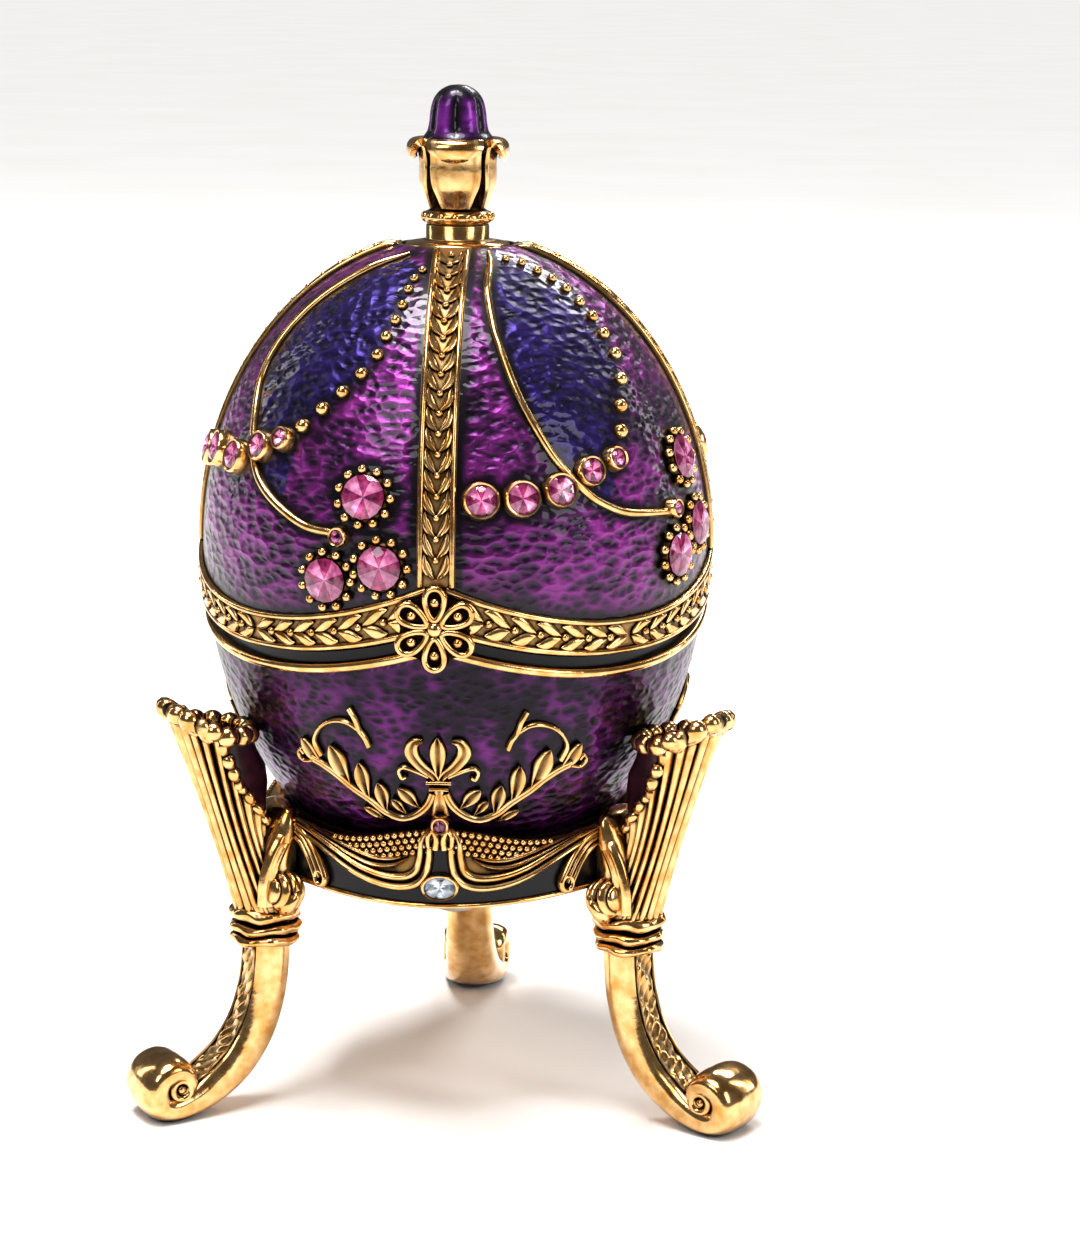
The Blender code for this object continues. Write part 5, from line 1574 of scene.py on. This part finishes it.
def pale_floor():
    """A white painted board, so wide that its edge is never seen."""
    material, tree = blank("pale_board")
    place = node(tree, "ShaderNodeTexCoord")
    cloud = node(tree, "ShaderNodeTexNoise", {"Vector": (place, "Object"), "Scale": 12.0, "Detail": 3.0})
    # The paint varies only a little, in patches about 80 mm across
    tone = node(tree, "ShaderNodeValToRGB", {"Fac": (cloud, "Fac")})
    stops(tone, (0.2, "#F7F5F2"), (0.8, "#FCFBFA"))
    shader = node(tree, "ShaderNodeBsdfPrincipled", {"Base Color": (tone, "Color"), "Roughness": 0.7})
    node(tree, "ShaderNodeOutputMaterial", {"Surface": (shader, 0)})
    turn = np.linspace(0, 2 * np.pi, 128, endpoint=False)
    ring = FLOOR_RADIUS * np.stack([np.cos(turn), np.sin(turn), 0 * turn], axis=1)
    mesh = bpy.data.meshes.new("floor")
    mesh.from_pydata(ring, [], [tuple(range(128))])
    mesh.materials.append(material)
    made = put("floor", mesh)


pale_floor()
print("the floor is", 2 * FLOOR_RADIUS, "m across")

# %% Camera
# Distance from the axis, angle round from the front, and height above the table
CAMERA_AWAY = 340.0
CAMERA_TURN = 4.3
CAMERA_HEIGHT = 115.0
# How the camera is turned from looking level at the axis: right, down and clockwise, in degrees
YAW, PITCH, ROLL = 1.42, 11.43, 0.53
# The focal length and the picture's height in pixels, and the sensor's height in millimetres
FOCAL_PIXELS = 3460
PICTURE_TALL = 1259
SENSOR = 36


def aim(made, right, up, back, spot):
    """Turn an object so that its own x, y and z are three directions, and place it, in metres."""
    made.matrix_world = Matrix([[*row] for row in zip(right, up, back, spot)] + [[0, 0, 0, 1]])


def swing(first, second, degrees):
    """Two directions turned together: first cos + second sin, and second cos - first sin."""
    cos, sin = math.cos(math.radians(degrees)), math.sin(math.radians(degrees))
    return first * cos + second * sin, second * cos - first * sin


def aim_camera():
    """The camera stands a little to the right of the front and looks down about eleven degrees."""
    right, _, out = wall_frame(CAMERA_TURN)
    ahead, right = swing(-out, right, YAW)
    ahead, up = swing(ahead, UP, -PITCH)
    right, up = swing(right, up, ROLL)
    data = bpy.data.cameras.new("camera")
    data.lens = FOCAL_PIXELS / PICTURE_TALL * SENSOR
    data.clip_end = 50
    made = put("camera", data)
    aim(made, right, up, -ahead, (polar(CAMERA_AWAY, CAMERA_TURN, CAMERA_HEIGHT) + AXIS) * MM)
    bpy.context.scene.camera = made
    print("the lens is", round(data.lens, 1), "mm long")


aim_camera()

# %% Light
# Each softbox: name, place and size in metres, and power in watts
SOFTBOXES = (
    ("overhead", (-0.14, 0.0, 0.75), (0.2, 0.2), 5.0),
    ("key", (-0.35, -0.55, 0.55), (0.3, 0.3), 1.7),
    ("side", (0.6, -0.4, 0.35), (0.25, 0.4), 1.8),
    ("left_edge", (-0.5, 0.25, 0.25), (0.04, 0.4), 0.35),
    ("right_edge", (0.5, 0.25, 0.25), (0.04, 0.4), 0.5),
    ("back", (0.25, 0.6, 0.6), (0.4, 0.1), 3.0))
MIDDLE = np.array([0, 0, 0.05])
SKY_COLOUR = "#FFFDFA"
SKY_STRENGTH = 0.12


def softbox(name, spot, size, power):
    """A rectangular light aimed at the middle of the egg."""
    data = bpy.data.lights.new(name, "AREA")
    data.shape = "RECTANGLE"
    data.size, data.size_y = size
    data.energy = power
    back = unit(np.array(spot) - MIDDLE)
    right = unit(np.cross(UP, back))
    aim(put(name, data), right, np.cross(back, right), back, spot)


def daylight(strength, tilt, turn, softness):
    """A broad, even light from above that reaches the whole floor alike; angles in degrees."""
    data = bpy.data.lights.new("daylight", "SUN")
    data.energy = strength
    data.angle = math.radians(softness)
    put("daylight", data).rotation_euler = (math.radians(tilt), 0.0, math.radians(turn))


for box in SOFTBOXES:
    softbox(*box)
daylight(2.9, 12.0, -20.0, 30.0)
world = bpy.data.worlds.new("studio")
bpy.context.scene.world = world
world.use_nodes = True
world.node_tree.nodes["Background"].inputs["Color"].default_value = colour(SKY_COLOUR)
world.node_tree.nodes["Background"].inputs["Strength"].default_value = SKY_STRENGTH
print("lit by", len(SOFTBOXES), "softboxes and daylight")
bpy.context.scene.view_settings.view_transform = "Standard"
